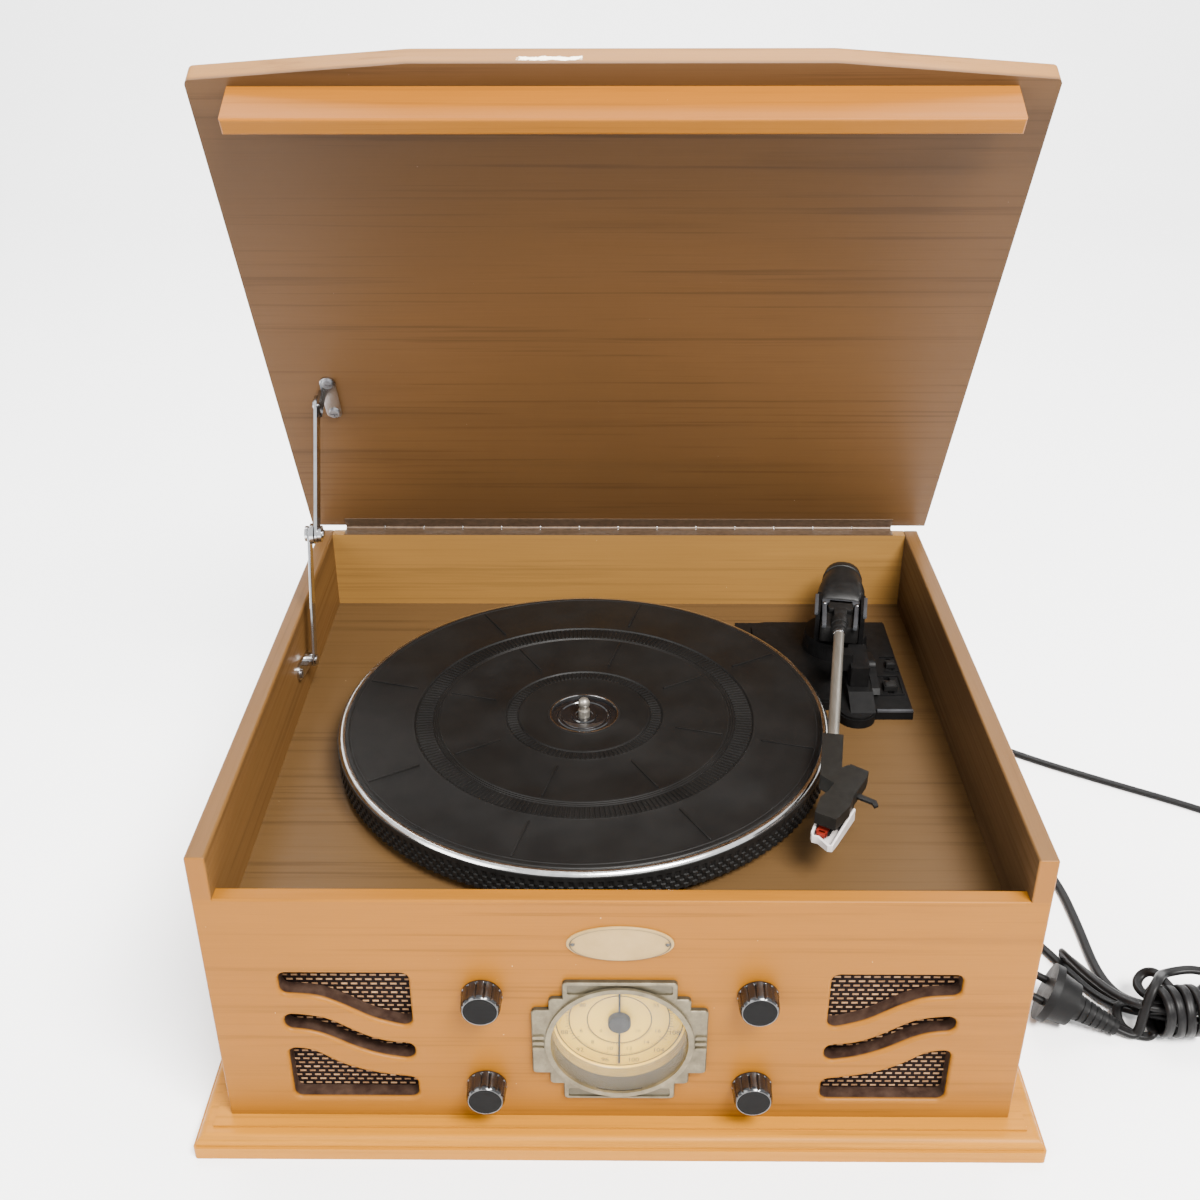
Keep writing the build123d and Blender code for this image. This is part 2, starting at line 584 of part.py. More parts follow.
# yoke: base disc, spindle, two cheeks
with BuildPart() as tonearm_yoke:
    with BuildSketch(arm_plane(TUR_TOP + 0.4)):
        Circle(16.0)
        with Locations((9, 0)):
            Rectangle(18, 32)
    extrude(amount=3.0)
    with BuildSketch(arm_plane(TUR_TOP - 20)):
        Circle(4.0)
    extrude(amount=20.6)
    for s in (-1, 1):
        with BuildSketch(arm_plane(TUR_TOP + 3.4)):
            with Locations((9, s * 14.6)):
                Rectangle(28, 2.8)
        extrude(amount=DECK_Z + 45.0 - TUR_TOP - 3.4)
    # pivot screws through the cheeks, on the tilt axis
    for s in (-1, 1):
        with BuildSketch(arm_side(s * 16.0)):
            with Locations((0, 0)):
                Circle(3.4)
        extrude(amount=0.9 * s)
    for s in (-1, 1):
        with BuildSketch(arm_side(s * 11.6)):
            Circle(1.6)
        extrude(amount=2.0 * s)
save(tonearm_yoke, "tonearm_yoke")

# tilting block with the domed balance end behind the pivot
with BuildPart() as tonearm_counterweight:
    with BuildSketch(arm_plane(DECK_Z + 26.0)):
        with Locations((-25.5, 0)):
            Rectangle(25, 31.0)
        with Locations((-38, 0)):
            Circle(15.5)
        with Locations((6, 0)):
            Rectangle(44, 25.2)
    extrude(amount=22.0)
    fillet([e for e in tonearm_counterweight.edges() if abs(e.center().Z - (DECK_Z + 48)) < 0.01], 3.0)
    with BuildSketch(arm_plane(DECK_Z + 48.5)):
        with Locations((20, 0)):
            Rectangle(20, 17.0)
    extrude(amount=-7.5, mode=Mode.SUBTRACT)
    for s in (-1, 1):
        with BuildSketch(arm_side(s * 12.6)):
            Circle(1.68)
        extrude(amount=-2.4 * s, mode=Mode.SUBTRACT)
    with BuildSketch(Plane(origin=(ARM_X + 20 * AX[0], ARM_Y + 20 * AX[1], ARM_Z), x_dir=(AYV[0], AYV[1], 0), z_dir=(AX[0], AX[1], 0))):
        Circle(TUBE_R + 0.02)
    extrude(amount=14, mode=Mode.SUBTRACT)
save(tonearm_counterweight, "tonearm_counterweight")

with BuildPart() as tonearm_tube:
    with BuildSketch(Plane(origin=(ARM_X + 20.2 * AX[0], ARM_Y + 20.2 * AX[1], ARM_Z), x_dir=(AYV[0], AYV[1], 0), z_dir=(AX[0], AX[1], 0))):
        Circle(TUBE_R)
        Circle(TUBE_R - 0.6, mode=Mode.SUBTRACT)
    extrude(amount=142.5)
save(tonearm_tube, "tonearm_tube")

# head shell: square stem over the tube, then the angled bar
HX, HY = 120.6, 74.5 - 182.0
HA = 30.0            # bar's angle from +Y towards +X


def head_plane(z):
    # sketch x along the bar towards its back end, sketch y to the left of that
    return Plane(origin=(HX, HY, z), x_dir=(sin(radians(HA)), cos(radians(HA)), 0), z_dir=(0, 0, 1))


HS_TOP = DECK_Z + 42.0
with BuildPart() as headshell:
    with BuildSketch(arm_plane(HS_TOP - 9.5)):
        with BuildLine():
            Polyline((158.5, -5.8), (158.5, 5.8), (190.5, 5.8), (187.5, 9.5), (198, 10), (206, 2), (199.7, -5.8), close=True)
        make_face()
    extrude(amount=9.5)
    with BuildSketch(head_plane(HS_TOP - 7.5)):
        with BuildLine():
            Polyline((25.5, 5.6), (24.0, -5.6), (17.8, -6.8), (-2.1, -6.8), (-10.5, -8.3), (-25.0, -6.2), (-24.4, 6.0), (-11, 8.5), (-2.7, 6.9), (5, 6.9), close=True)
        make_face()
    extrude(amount=7.5)
    with BuildSketch(Plane(origin=(ARM_X + 158.5 * AX[0], ARM_Y + 158.5 * AX[1], ARM_Z), x_dir=(AYV[0], AYV[1], 0), z_dir=(AX[0], AX[1], 0))):
        Circle(TUBE_R + 0.02)
    extrude(amount=4.4, mode=Mode.SUBTRACT)
save(headshell, "headshell")

with BuildPart() as cartridge:
    with BuildSketch(head_plane(DECK_Z + 28.5)):
        with Locations((-4.4, 0)):
            Rectangle(20.8, 10.5)
    extrude(amount=6.0)
    fillet(cartridge.edges().filter_by(Axis.Z), 0.8)
save(cartridge, "cartridge")

with BuildPart() as stylus:
    with BuildSketch(head_plane(DECK_Z + 28.7)):
        with Locations((-20.4, 1.0)):
            Rectangle(11.2, 6.0)
    extrude(amount=3.0)
    with BuildSketch(head_plane(DECK_Z + 27.0)):
        with Locations((-24.0, 0.5)):
            Circle(0.7)
    extrude(amount=1.8)
save(stylus, "stylus")

with BuildPart() as stylus_guard:
    with BuildSketch(head_plane(DECK_Z + 25.6)):
        with BuildLine():
            Polyline((-6, -8.6), (-6, 8.6), (-14.4, 8.6), (-29.7, 6.2), (-33.6, 3.8), (-37.2, -1.5), (-38.2, -7.0), (-37.0, -8.4), (-28.6, -8.6), close=True)
        make_face()
    extrude(amount=8.6)
    with BuildSketch(head_plane(DECK_Z + 26.6)):
        with BuildLine():
            Polyline((-2, -6.4), (-2, 6.4), (-20, 6.4), (-28.3, 4.6), (-32.0, 2.4), (-34.8, -2.2), (-35.8, -6.4), close=True)
        make_face()
    extrude(amount=9, mode=Mode.SUBTRACT)
save(stylus_guard, "stylus_guard")

with BuildPart() as finger_lift:
    with BuildSketch(head_plane(HS_TOP - 5.4)):
        with BuildLine():
            Polyline((7.5, -6.8), (7.5, -7.6), (6.4, -17.0), (3.0, -19.4), (0.6, -18.2), (3.0, -16.0), (3.8, -7.6), (3.8, -6.8), close=True)
        make_face()
    extrude(amount=1.4)
save(finger_lift, "finger_lift")

# arm rest beside and under the tube
with BuildPart() as arm_rest:
    with BuildSketch(yz(147.0)):
        with BuildLine():
            Polyline((19.5, DECK_Z + PLATE_H), (34.5, DECK_Z + 14), (58.5, DECK_Z + 14), (58.5, DECK_Z + PLATE_H), close=True)
        make_face()
    extrude(amount=15.8)
    with BuildSketch(Plane.XY.offset(DECK_Z + PLATE_H)):
        with BuildLine():
            Polyline((148.6, 40), (160.6, 40), (162.4, 70), (150.8, 70), close=True)
        make_face()
    extrude(amount=20.5)
    with BuildSketch(Plane.XY.offset(DECK_Z + 22.0)):
        with BuildLine():
            Polyline((139.0, 47), (150.5, 47), (150.5, 56), (139.0, 56), close=True)
        make_face()
    extrude(amount=11.9)
    fillet([e for e in arm_rest.edges().filter_by(Axis.Z) if e.length > 12 and e.center().X > 147], 1.2)
    with BuildSketch(Plane(origin=(157.5, 63, DECK_Z + 16), x_dir=(0, 1, 0), z_dir=(1, 0, 0))):
        Circle(1.66)
    extrude(amount=8, mode=Mode.SUBTRACT)
save(arm_rest, "arm_rest")

with BuildPart() as cue_lever:
    with BuildSketch(Plane(origin=(163.2, 0, 0), x_dir=(0, 1, 0), z_dir=(1, 0, 0))):
        with Locations((63, DECK_Z + 16)):
            Circle(4.2)
        with BuildLine():
            Polyline((63, DECK_Z + 20.2), (78, DECK_Z + 17.5), (78, DECK_Z + 15.3), (63, DECK_Z + 11.8), close=True)
        make_face()
        with BuildLine():
            Polyline((63, DECK_Z + 12.5), (63, DECK_Z + 17.5), (40, DECK_Z + 13.0), (37.5, DECK_Z + 9.6), close=True)
        make_face()
    extrude(amount=5.0)
    with BuildSketch(Plane(origin=(158.0, 63, DECK_Z + 16), x_dir=(0, 1, 0), z_dir=(1, 0, 0))):
        Circle(1.6)
    extrude(amount=6)
save(cue_lever, "cue_lever")

with BuildPart() as speed_lever:
    with BuildSketch(Plane.XY.offset(DECK_Z + PLATE_H + 0.3)):
        with Locations((176.5, 48.5)):
            Rectangle(8.5, 8)
    extrude(amount=3.4)
    with BuildSketch(Plane.XY.offset(DECK_Z + PLATE_H - 3.2)):
        with Locations((176.5, 48.5)):
            Rectangle(3.2, 6)
    extrude(amount=3.6)
    with BuildSketch(Plane.XY.offset(DECK_Z + PLATE_H + 3.7)):
        with Locations(*[(176.5, 48.5 + k * 2.0) for k in (-1.5, -0.5, 0.5, 1.5)]):
            Rectangle(8.5, 0.8)
    extrude(amount=-0.9, mode=Mode.SUBTRACT)
save(speed_lever, "speed_lever")

with BuildPart() as auto_stop_lever:
    with BuildSketch(Plane.XY.offset(DECK_Z + PLATE_H + 0.3)):
        with Locations((181.3, 75.5)):
            Rectangle(6.2, 6)
    extrude(amount=2.8)
    with BuildSketch(Plane.XY.offset(DECK_Z + PLATE_H - 3.2)):
        with Locations((181.5, 75.5)):
            Rectangle(2.2, 5)
    extrude(amount=3.6)
save(auto_stop_lever, "auto_stop_lever")

# ---------------------------------------------------------------- knobs, shafts, controls
for name, kx, kz in (("volume", -KNOB_X, KNOB_Z[0]), ("tone", -KNOB_X, KNOB_Z[1]), ("tuning", KNOB_X, KNOB_Z[0]), ("band", KNOB_X, KNOB_Z[1])):
    with BuildPart() as knob:
        with BuildSketch(front(FY - 0.6)):
            with Locations((kx, kz)):
                Circle(KNOB_R)
        extrude(amount=KNOB_L, taper=1.2)
        fillet(knob.edges().group_by(Axis.Y)[0], 0.9)
        with BuildSketch(front(FY)):
            with Locations((kx, kz)):
                with PolarLocations(KNOB_R + 0.55, 14, 12):
                    Circle(1.15)
        extrude(amount=20, mode=Mode.SUBTRACT)
        with BuildSketch(front(FY - 0.6 - KNOB_L)):
            with Locations((kx, kz)):
                Circle(9.4)
        extrude(amount=-0.5, mode=Mode.SUBTRACT)
        with BuildSketch(front(FY - 0.5)):
            with Locations((kx, kz)):
                Circle(3.02)
        extrude(amount=8.1, mode=Mode.SUBTRACT)
    save(knob, name + "_knob")
    with BuildPart() as shaft:
        with BuildSketch(front(FY + 24)):
            with Locations((kx, kz)):
                Circle(3.0)
        extrude(amount=32.4)
    save(shaft, name + "_shaft")

with BuildPart() as potentiometers:
    spots = [(sx * KNOB_X, z) for sx in (-1, 1) for z in KNOB_Z]
    with BuildSketch(front(FY + FRONT_T)):
        with Locations(*spots):
            Circle(12.0)
    extrude(amount=-16.0)
    with BuildSketch(front(FY + FRONT_T)):
        with Locations(*spots):
            Circle(3.7)
    extrude(amount=8.6)
    with BuildSketch(front(FY)):
        with Locations(*spots):
            Circle(3.06)
    extrude(amount=-24.6, mode=Mode.SUBTRACT)
    # tuning capacitor behind the dial
    with BuildSketch(front(FY + 15.5)):
        with Locations((0, DIAL_Z)):
            Rectangle(30, 26)
            Circle(2.06, mode=Mode.SUBTRACT)
    extrude(amount=-20)
save(potentiometers, "rotary_controls")

# ---------------------------------------------------------------- dial
BZ = 2.8
with BuildPart() as dial_bezel:
    with BuildSketch(front(FY)) as bz:
        with Locations((0, DIAL_Z)):
            RectangleRounded(60, 85, 2.6)
            RectangleRounded(74.6, 62, 2.6)
            RectangleRounded(93, 46, 2.6)
            Circle(36.6, mode=Mode.SUBTRACT)
    extrude(amount=BZ)
    chamfer([e for e in dial_bezel.edges() if abs(e.center().Y - (FY - BZ)) < 0.01 and not (e.geom_type == GeomType.CIRCLE and e.radius > 30)], 0.5)
    # sunk fields that leave raised borders at the top and bottom blocks
    with BuildSketch(front(FY - BZ)):
        for s in (-1, 1):
            with Locations((0, DIAL_Z + s * 37.6)):
                RectangleRounded(55, 6.4, 1.2)
    extrude(amount=-0.8, mode=Mode.SUBTRACT)
    with BuildSketch(front(FY - BZ)):
        with Locations((0, DIAL_Z)):
            Circle(39.4)
            Circle(36.6, mode=Mode.SUBTRACT)
    extrude(amount=1.5)
    with BuildSketch(front(FY - BZ)):
        for s in (-1, 1):
            with Locations(*[(s * 43.1, DIAL_Z + k * 4.1) for k in (-1, 0, 1)]):
                RectangleRounded(6.0, 2.1, 0.9)
    extrude(amount=1.0)
    # sleeve through the board
    with BuildSketch(front(FY)):
        with Locations((0, DIAL_Z)):
            Circle(39.8)
            Circle(36.6, mode=Mode.SUBTRACT)
    extrude(amount=-7.0)
save(dial_bezel, "dial_bezel")

with BuildPart() as dial_plate:
    with BuildSketch(front(FY + 7.0)):
        with Locations((0, DIAL_Z)):
            Circle(39.4)
    extrude(amount=-8.5)
    with BuildSketch(front(FY + 7.0)):
        with Locations((0, DIAL_Z)):
            Circle(36.4)
    extrude(amount=-6.5, mode=Mode.SUBTRACT)
    inner = [e for e in dial_plate.edges().filter_by(GeomType.CIRCLE) if abs(e.center().Y - (FY + 13.5)) < 0.01 and abs(e.radius - 36.4) < 0.01]
    fillet(inner, 1.6)
    with BuildSketch(front(FY)):
        with Locations((0, DIAL_Z)):
            Circle(2.1)
    extrude(amount=-20, mode=Mode.SUBTRACT)
save(dial_plate, "dial_plate")

with BuildPart() as dial_pointer:
    with BuildSketch(front(FY + 12.9)):
        with Locations((0, DIAL_Z)):
            Circle(6.2)
    extrude(amount=3.9)
    fillet(dial_pointer.edges().group_by(Axis.Y)[0], 0.8)
    with BuildSketch(front(FY + 12.9)):
        with Locations((0, DIAL_Z)):
            Rectangle(1.1, 64)
    extrude(amount=0.7)
    with BuildSketch(front(FY + 28)):
        with Locations((0, DIAL_Z)):
            Circle(2.0)
    extrude(amount=16)
save(dial_pointer, "dial_pointer")

# domed clear lens, seated inside the ring's lip
LR, LB = 36.6, 5.2
sph = (LR ** 2 + LB ** 2) / (2 * LB)
ly0 = FY - BZ + 0.4
with BuildPart() as dial_lens:
    with BuildSketch(Plane.XY) as lsk:
        with BuildLine():
            ThreePointArc((LR, 0), (sph * sin(0.5 * atan2(LR, sph - LB)), LB - sph + sph * cos(0.5 * atan2(LR, sph - LB))), (0, LB))
            Line((0, LB), (0, LB - 1.4))
            ThreePointArc((0, LB - 1.4), (sph * sin(0.5 * atan2(LR, sph - LB)), LB - 1.4 - sph + sph * cos(0.5 * atan2(LR, sph - LB))), (LR, -1.4))
            Line((LR, -1.4), (LR, 0))
        make_face()
    revolve(axis=Axis.Y)
dial_lens.part.location = Location((0, ly0, DIAL_Z), (180, 0, 0))
save(dial_lens, "dial_lens")

with BuildPart() as name_badge:
    with BuildSketch(front(FY)):
        with Locations((0, 141.8)):
            Ellipse(27.5, 11.3)
    extrude(amount=1.0)
    fillet(name_badge.edges().group_by(Axis.Y)[0], 0.4)
    with BuildSketch(front(FY - 1.0)):
        with Locations((-24.2, 142.2), (24.2, 142.2)):
            Circle(1.1)
    extrude(amount=0.5)
save(name_badge, "name_badge")

# ---------------------------------------------------------------- speakers
with BuildPart() as speaker_cloths:
    with BuildSketch(front(FY + FRONT_T)):
        with Locations((-143.7, 74), (143.7, 74)):
            Rectangle(82, 106)
    extrude(amount=-0.8)
save(speaker_cloths, "speaker_cloths")

SPY = FY + FRONT_T + 1.1
with BuildPart() as speakers:
    for sx in (-1, 1):
        with BuildSketch(front(SPY)):
            with Locations((sx * 143.7, 74)):
                RectangleRounded(80, 80, 8)
                Circle(34, mode=Mode.SUBTRACT)
        extrude(amount=-2.0)
        with BuildSketch(Plane(origin=(sx * 143.7, SPY, 74), x_dir=(1, 0, 0), z_dir=(0, 0, 1))):
            with BuildLine():
                Polyline((34, 0.6), (36, 0.6), (36, 2.0), (22, 19), (22, 21), (26, 21), (26, 33), (0, 33), (0, 14), (10, 14), (12, 15.5), (20.5, 18), close=True)
            make_face()
        revolve(axis=Axis(origin=(sx * 143.7, 0, 74), direction=(0, 1, 0)))
save(speakers, "speakers")

# ---------------------------------------------------------------- electrics
with BuildPart() as amplifier_board:
    with BuildSketch(Plane.XY.offset(BASE_T + 10)):
        with Locations((0, -60)):
            Rectangle(170, 110)
    extrude(amount=1.6)
    with BuildSketch(Plane.XY.offset(BASE_T)):
        with Locations((0, -60)):
            with GridLocations(156, 96, 2, 2):
                Circle(3.2)
    extrude(amount=10)
    with BuildSketch(Plane.XY.offset(BASE_T + 11.6)):
        with Locations((-50, -40), (-34, -40)):
            Circle(6.5)
        with Locations((30, -70), (52, -70), (30, -46)):
            Rectangle(12, 12)
    extrude(amount=14)
    with BuildSketch(Plane.XY.offset(BASE_T + 11.6)):
        with Locations((-40, -90)):
            Rectangle(60, 6)
    extrude(amount=22)
save(amplifier_board, "amplifier_board")

with BuildPart() as mains_transformer:
    with BuildSketch(Plane.XY.offset(BASE_T)):
        with Locations((130, 120)):
            Rectangle(70, 50)
    extrude(amount=3)
    with BuildSketch(Plane.XY.offset(BASE_T + 3)):
        with Locations((130, 120)):
            Rectangle(54, 46)
    extrude(amount=44)
    with BuildSketch(Plane.XY.offset(BASE_T + 10)):
        with Locations((130, 120)):
            Rectangle(36, 60)
    extrude(amount=30)
    fillet(mains_transformer.edges().filter_by(Axis.Z), 2)
save(mains_transformer, "mains_transformer")

# ---------------------------------------------------------------- mains lead
with BuildPart() as cord_gland:
    with BuildSketch(front(BY + 2.6)):
        with Locations((CORD_X, CORD_Z)):
            Circle(8.0)
    extrude(amount=2.6)
    with BuildSketch(front(BY)):
        with Locations((CORD_X, CORD_Z)):
            Circle(5.1)
    extrude(amount=BACK_T + 1.5)
    with BuildSketch(front(BY + 2.6)):
        with Locations((CORD_X, CORD_Z)):
            Circle(6.2)
    extrude(amount=-27.4, taper=5.6)
save(cord_gland, "cord_gland")

Z0 = CORD_R + 0.06
LEAD = [(120, 212, 27), (120, 231, 27), (122.5, 251, 17), (134, 268, 6.5), (156, 277, Z0), (190, 275, Z0), (228, 253, Z0), (272, 212, Z0), (318, 176, Z0), (372, 144, Z0), (430, 112, Z0), (468, 84, Z0), (489, 44, Z0), (484, -1, Z0), (458, -38, Z0), (430, -59, Z0), (408, -72, Z0 + 1.6), (388, -82, 7.4)]
LOOP = [(325, -97, 13), (314.5, -89.5, 9), (307.5, -76, 4.5), (303.5, -53, Z0), (304.5, -12, Z0), (303, 30, Z0), (292, 65, Z0), (266, 82, Z0), (245, 64, Z0), (242, 28, Z0), (256, -6, Z0), (274, -32, Z0), (285.5, -56, Z0), (295.5, -78, 3.6), (308, -92.5, 6.5), (323, -101, 10.5)]
TIP = (299.8, -107.0, 5.5)
TH = radians(17.4)
PD = (0.927 * cos(TH), -0.375 * cos(TH), -sin(TH))
TAIL = [TIP, tuple(TIP[i] + 9 * PD[i] for i in range(3)), (317.5, -111.2, Z0 + 0.15)]


def corner_radii(pts):
    out = []
    for a, b, c in zip(pts[:-2], pts[1:-1], pts[2:]):
        u, w = Vector(*b) - Vector(*a), Vector(*c) - Vector(*b)
        turn = radians(u.get_angle(w))
        out.append(0.45 * min(u.length, w.length) / tan(turn / 2))
    return out


solids = []
for name, pts in (("lead", LEAD), ("loop", LOOP), ("tail", TAIL)):
    rad = corner_radii(pts)
    with BuildPart() as run:
        with BuildLine() as path:
            FilletPolyline(*pts, radius=rad)
        start = Vector(*pts[1]) - Vector(*pts[0])
        with BuildSketch(Plane(origin=pts[0], z_dir=start)):
            Circle(CORD_R)
        sweep()
    length = path.wire().length
    print("cord", name, "radii", [round(r, 1) for r in rad], "length", round(length, 1), "volume ratio", round(run.part.volume / (pi * CORD_R ** 2 * length), 4))
    solids.append(run)

with BuildPart() as mains_cord:
    for s in solids:
        add(s.part)
save(mains_cord, "mains_cord")

# tied hank: outer shape of the wound waist, the folds out to the right and the short fold on the left
with BuildPart() as cord_hank:
    with BuildSketch(Plane(origin=(313, -103.8, 17.2), x_dir=(0, 1, 0), z_dir=(1, 0, 0))):
        Ellipse(17.8, 17.0)
    extrude(amount=39)
    with BuildSketch(Plane(origin=(352, -97, 15.7), x_dir=(0, 1, 0), z_dir=(1, 0, 0))):
        Ellipse(27, 15.5)
    extrude(amount=44)
    with BuildSketch(Plane.XY.offset(6)):
        with BuildLine():
            Polyline((325, -106), (325, -90), (349, -90), (349, -66), (334, -66), (318, -74), (316, -98), close=True)
        make_face()
    extrude(amount=32)
    with BuildSketch(Plane.XY.offset(0.3)):
        with BuildLine():
            Polyline((318, -96), (302.5, -72), (292.5, -44), (281.5, -43), (281, -58), (290, -82), (318, -108), close=True)
        make_face()
    extrude(amount=17)
save(cord_hank, "cord_hank")

# round two-pin plug lying on its rim and its relief
FACE = (TIP[0] - 46 * PD[0], TIP[1] - 46 * PD[1], TIP[2] - 46 * PD[2])


def plug_plane(off):
    return Plane(origin=tuple(FACE[i] + off * PD[i] for i in range(3)), z_dir=PD)


print("plug face", FACE, "rim bottom", FACE[2] - 18.3 * cos(TH))
with BuildPart() as mains_plug:
    with BuildSketch(plug_plane(0)):
        Circle(18.3)
    extrude(amount=5.0)
    with BuildSketch(plug_plane(5)):
        Circle(15.6)
    extrude(amount=13, taper=10)
    with BuildSketch(plug_plane(18)):
        Circle(8.6)
    extrude(amount=28.0, taper=7.5)
    with BuildSketch(plug_plane(0)):
        with Locations((-9.5, 0), (9.5, 0)):
            Circle(2.4)
    extrude(amount=-19.0)
    for k in range(6):
        with BuildSketch(plug_plane(21.5 + 4.0 * k)):
            Circle(12)
            Circle(7.0 - 0.42 * k, mode=Mode.SUBTRACT)
        extrude(amount=1.4, mode=Mode.SUBTRACT)
save(mains_plug, "mains_plug")
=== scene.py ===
import bpy, bmesh, math, random
from mathutils import Vector, Matrix


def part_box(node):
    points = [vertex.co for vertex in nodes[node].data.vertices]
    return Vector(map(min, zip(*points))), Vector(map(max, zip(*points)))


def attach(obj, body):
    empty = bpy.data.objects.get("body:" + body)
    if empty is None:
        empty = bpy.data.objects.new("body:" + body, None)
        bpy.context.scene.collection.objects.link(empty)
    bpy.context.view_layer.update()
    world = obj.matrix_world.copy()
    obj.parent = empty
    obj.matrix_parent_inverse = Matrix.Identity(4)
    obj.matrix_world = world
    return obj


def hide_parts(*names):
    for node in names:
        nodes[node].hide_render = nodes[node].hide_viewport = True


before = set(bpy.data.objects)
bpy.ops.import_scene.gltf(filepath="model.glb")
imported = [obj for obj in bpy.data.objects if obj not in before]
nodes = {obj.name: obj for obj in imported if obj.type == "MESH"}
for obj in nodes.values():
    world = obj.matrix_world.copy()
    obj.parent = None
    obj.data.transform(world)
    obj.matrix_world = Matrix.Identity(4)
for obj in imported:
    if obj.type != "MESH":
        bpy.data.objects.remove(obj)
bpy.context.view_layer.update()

mm = 0.001
rnd = random.Random(7)
pi = math.pi

# ------------------------------------------------------------------ sizes shared with the cabinet (mm)
FY, BY, DECK = -182.0, 182.0, 140.0
PX, PY = -21.3, -6.9
ARMX, ARMY = 150.0, 103.0
AD = math.radians(9.8)
AX = Vector((-math.sin(AD), -math.cos(AD), 0))
AY = Vector((math.cos(AD), -math.sin(AD), 0))
DZ = 74.2


def lin(r, g, b):
    f = lambda c: (c / 255 / 12.92) if c / 255 <= 0.04045 else ((c / 255 + 0.055) / 1.055) ** 2.4
    return (f(r), f(g), f(b), 1)


# ------------------------------------------------------------------ materials
class Mat:
    def __init__(self, name):
        self.m = bpy.data.materials.new(name)
        self.m.use_nodes = True
        self.t = self.m.node_tree
        self.t.nodes.clear()
        self.out = self.t.nodes.new("ShaderNodeOutputMaterial")
        self.b = self.t.nodes.new("ShaderNodeBsdfPrincipled")
        self.t.links.new(self.b.outputs[0], self.out.inputs[0])
        self.tc = self.t.nodes.new("ShaderNodeTexCoord")

    def n(self, kind, **kw):
        x = self.t.nodes.new("ShaderNode" + kind)
        for k, v in kw.items():
            setattr(x, k, v)
        return x

    def link(self, a, b):
        self.t.links.new(a, b)

    def coords(self, scale=(1, 1, 1), rot=(0, 0, 0), loc=(0, 0, 0)):
        m = self.n("Mapping")
        m.inputs["Scale"].default_value = scale
        m.inputs["Rotation"].default_value = rot
        m.inputs["Location"].default_value = loc
        self.link(self.tc.outputs["Object"], m.inputs["Vector"])
        return m.outputs[0]

    def noise(self, vec, scale, detail=4, rough=0.55):
        x = self.n("TexNoise")
        x.inputs["Scale"].default_value = scale
        x.inputs["Detail"].default_value = detail
        x.inputs["Roughness"].default_value = rough
        self.link(vec, x.inputs["Vector"])
        return x.outputs["Fac"]

    def ramp(self, fac, stops):
        x = self.n("ValToRGB")
        e = x.color_ramp.elements
        while len(e) > 1:
            e.remove(e[-1])
        e[0].position, e[0].color = stops[0]
        for p, c in stops[1:]:
            q = e.new(p)
            q.color = c
        self.link(fac, x.inputs[0])
        return x.outputs[0]

    def span(self, fac, a, b, lo, hi):
        x = self.n("MapRange")
        for k, v in (("From Min", a), ("From Max", b), ("To Min", lo), ("To Max", hi)):
            x.inputs[k].default_value = v
        self.link(fac, x.inputs["Value"])
        return x.outputs[0]

    def mix(self, fac, a, b, mode="MIX"):
        x = self.n("Mix", data_type="RGBA", blend_type=mode)
        if isinstance(fac, (int, float)):
            x.inputs[0].default_value = fac
        else:
            self.link(fac, x.inputs[0])
        for i, c in ((6, a), (7, b)):
            if isinstance(c, tuple):
                x.inputs[i].default_value = c
            else:
                self.link(c, x.inputs[i])
        return x.outputs[2]

    def math(self, op, a, b=None, c=None):
        x = self.n("Math", operation=op)
        for i, v in enumerate((a, b, c)):
            if v is None:
                continue
            if isinstance(v, (int, float)):
                x.inputs[i].default_value = v
            else:
                self.link(v, x.inputs[i])
        return x.outputs[0]

    def xyz(self):
        s = self.n("SeparateXYZ")
        self.link(self.tc.outputs["Object"], s.inputs[0])
        return s.outputs

    def bump(self, h, strength=0.2, dist=0.0005):
        x = self.n("Bump")
        x.inputs["Strength"].default_value = strength
        x.inputs["Distance"].default_value = dist
        self.link(h, x.inputs["Height"])
        self.link(x.outputs[0], self.b.inputs["Normal"])

    def set(self, **kw):
        for k, v in kw.items():
            self.b.inputs[k.replace("_", " ")].default_value = v


def plain(name, a, b, rough=(0.35, 0.5), metal=0.0, scale=120, stretch=(1, 1, 1), bump=0.1, bscale=900, spec=0.5, coat=0.0, bdist=0.0002):
    m = Mat(name)
    v = m.coords(stretch)
    n1 = m.noise(v, scale, 5)
    m.link(m.ramp(n1, [(0.3, a), (0.72, b)]), m.b.inputs["Base Color"])
    m.link(m.span(m.noise(v, scale * 0.37, 3), 0.3, 0.7, rough[0], rough[1]), m.b.inputs["Roughness"])
    m.set(Metallic=metal, Specular_IOR_Level=spec, Coat_Weight=coat)
    m.bump(m.noise(v, bscale, 3), bump, bdist)
    return m.m


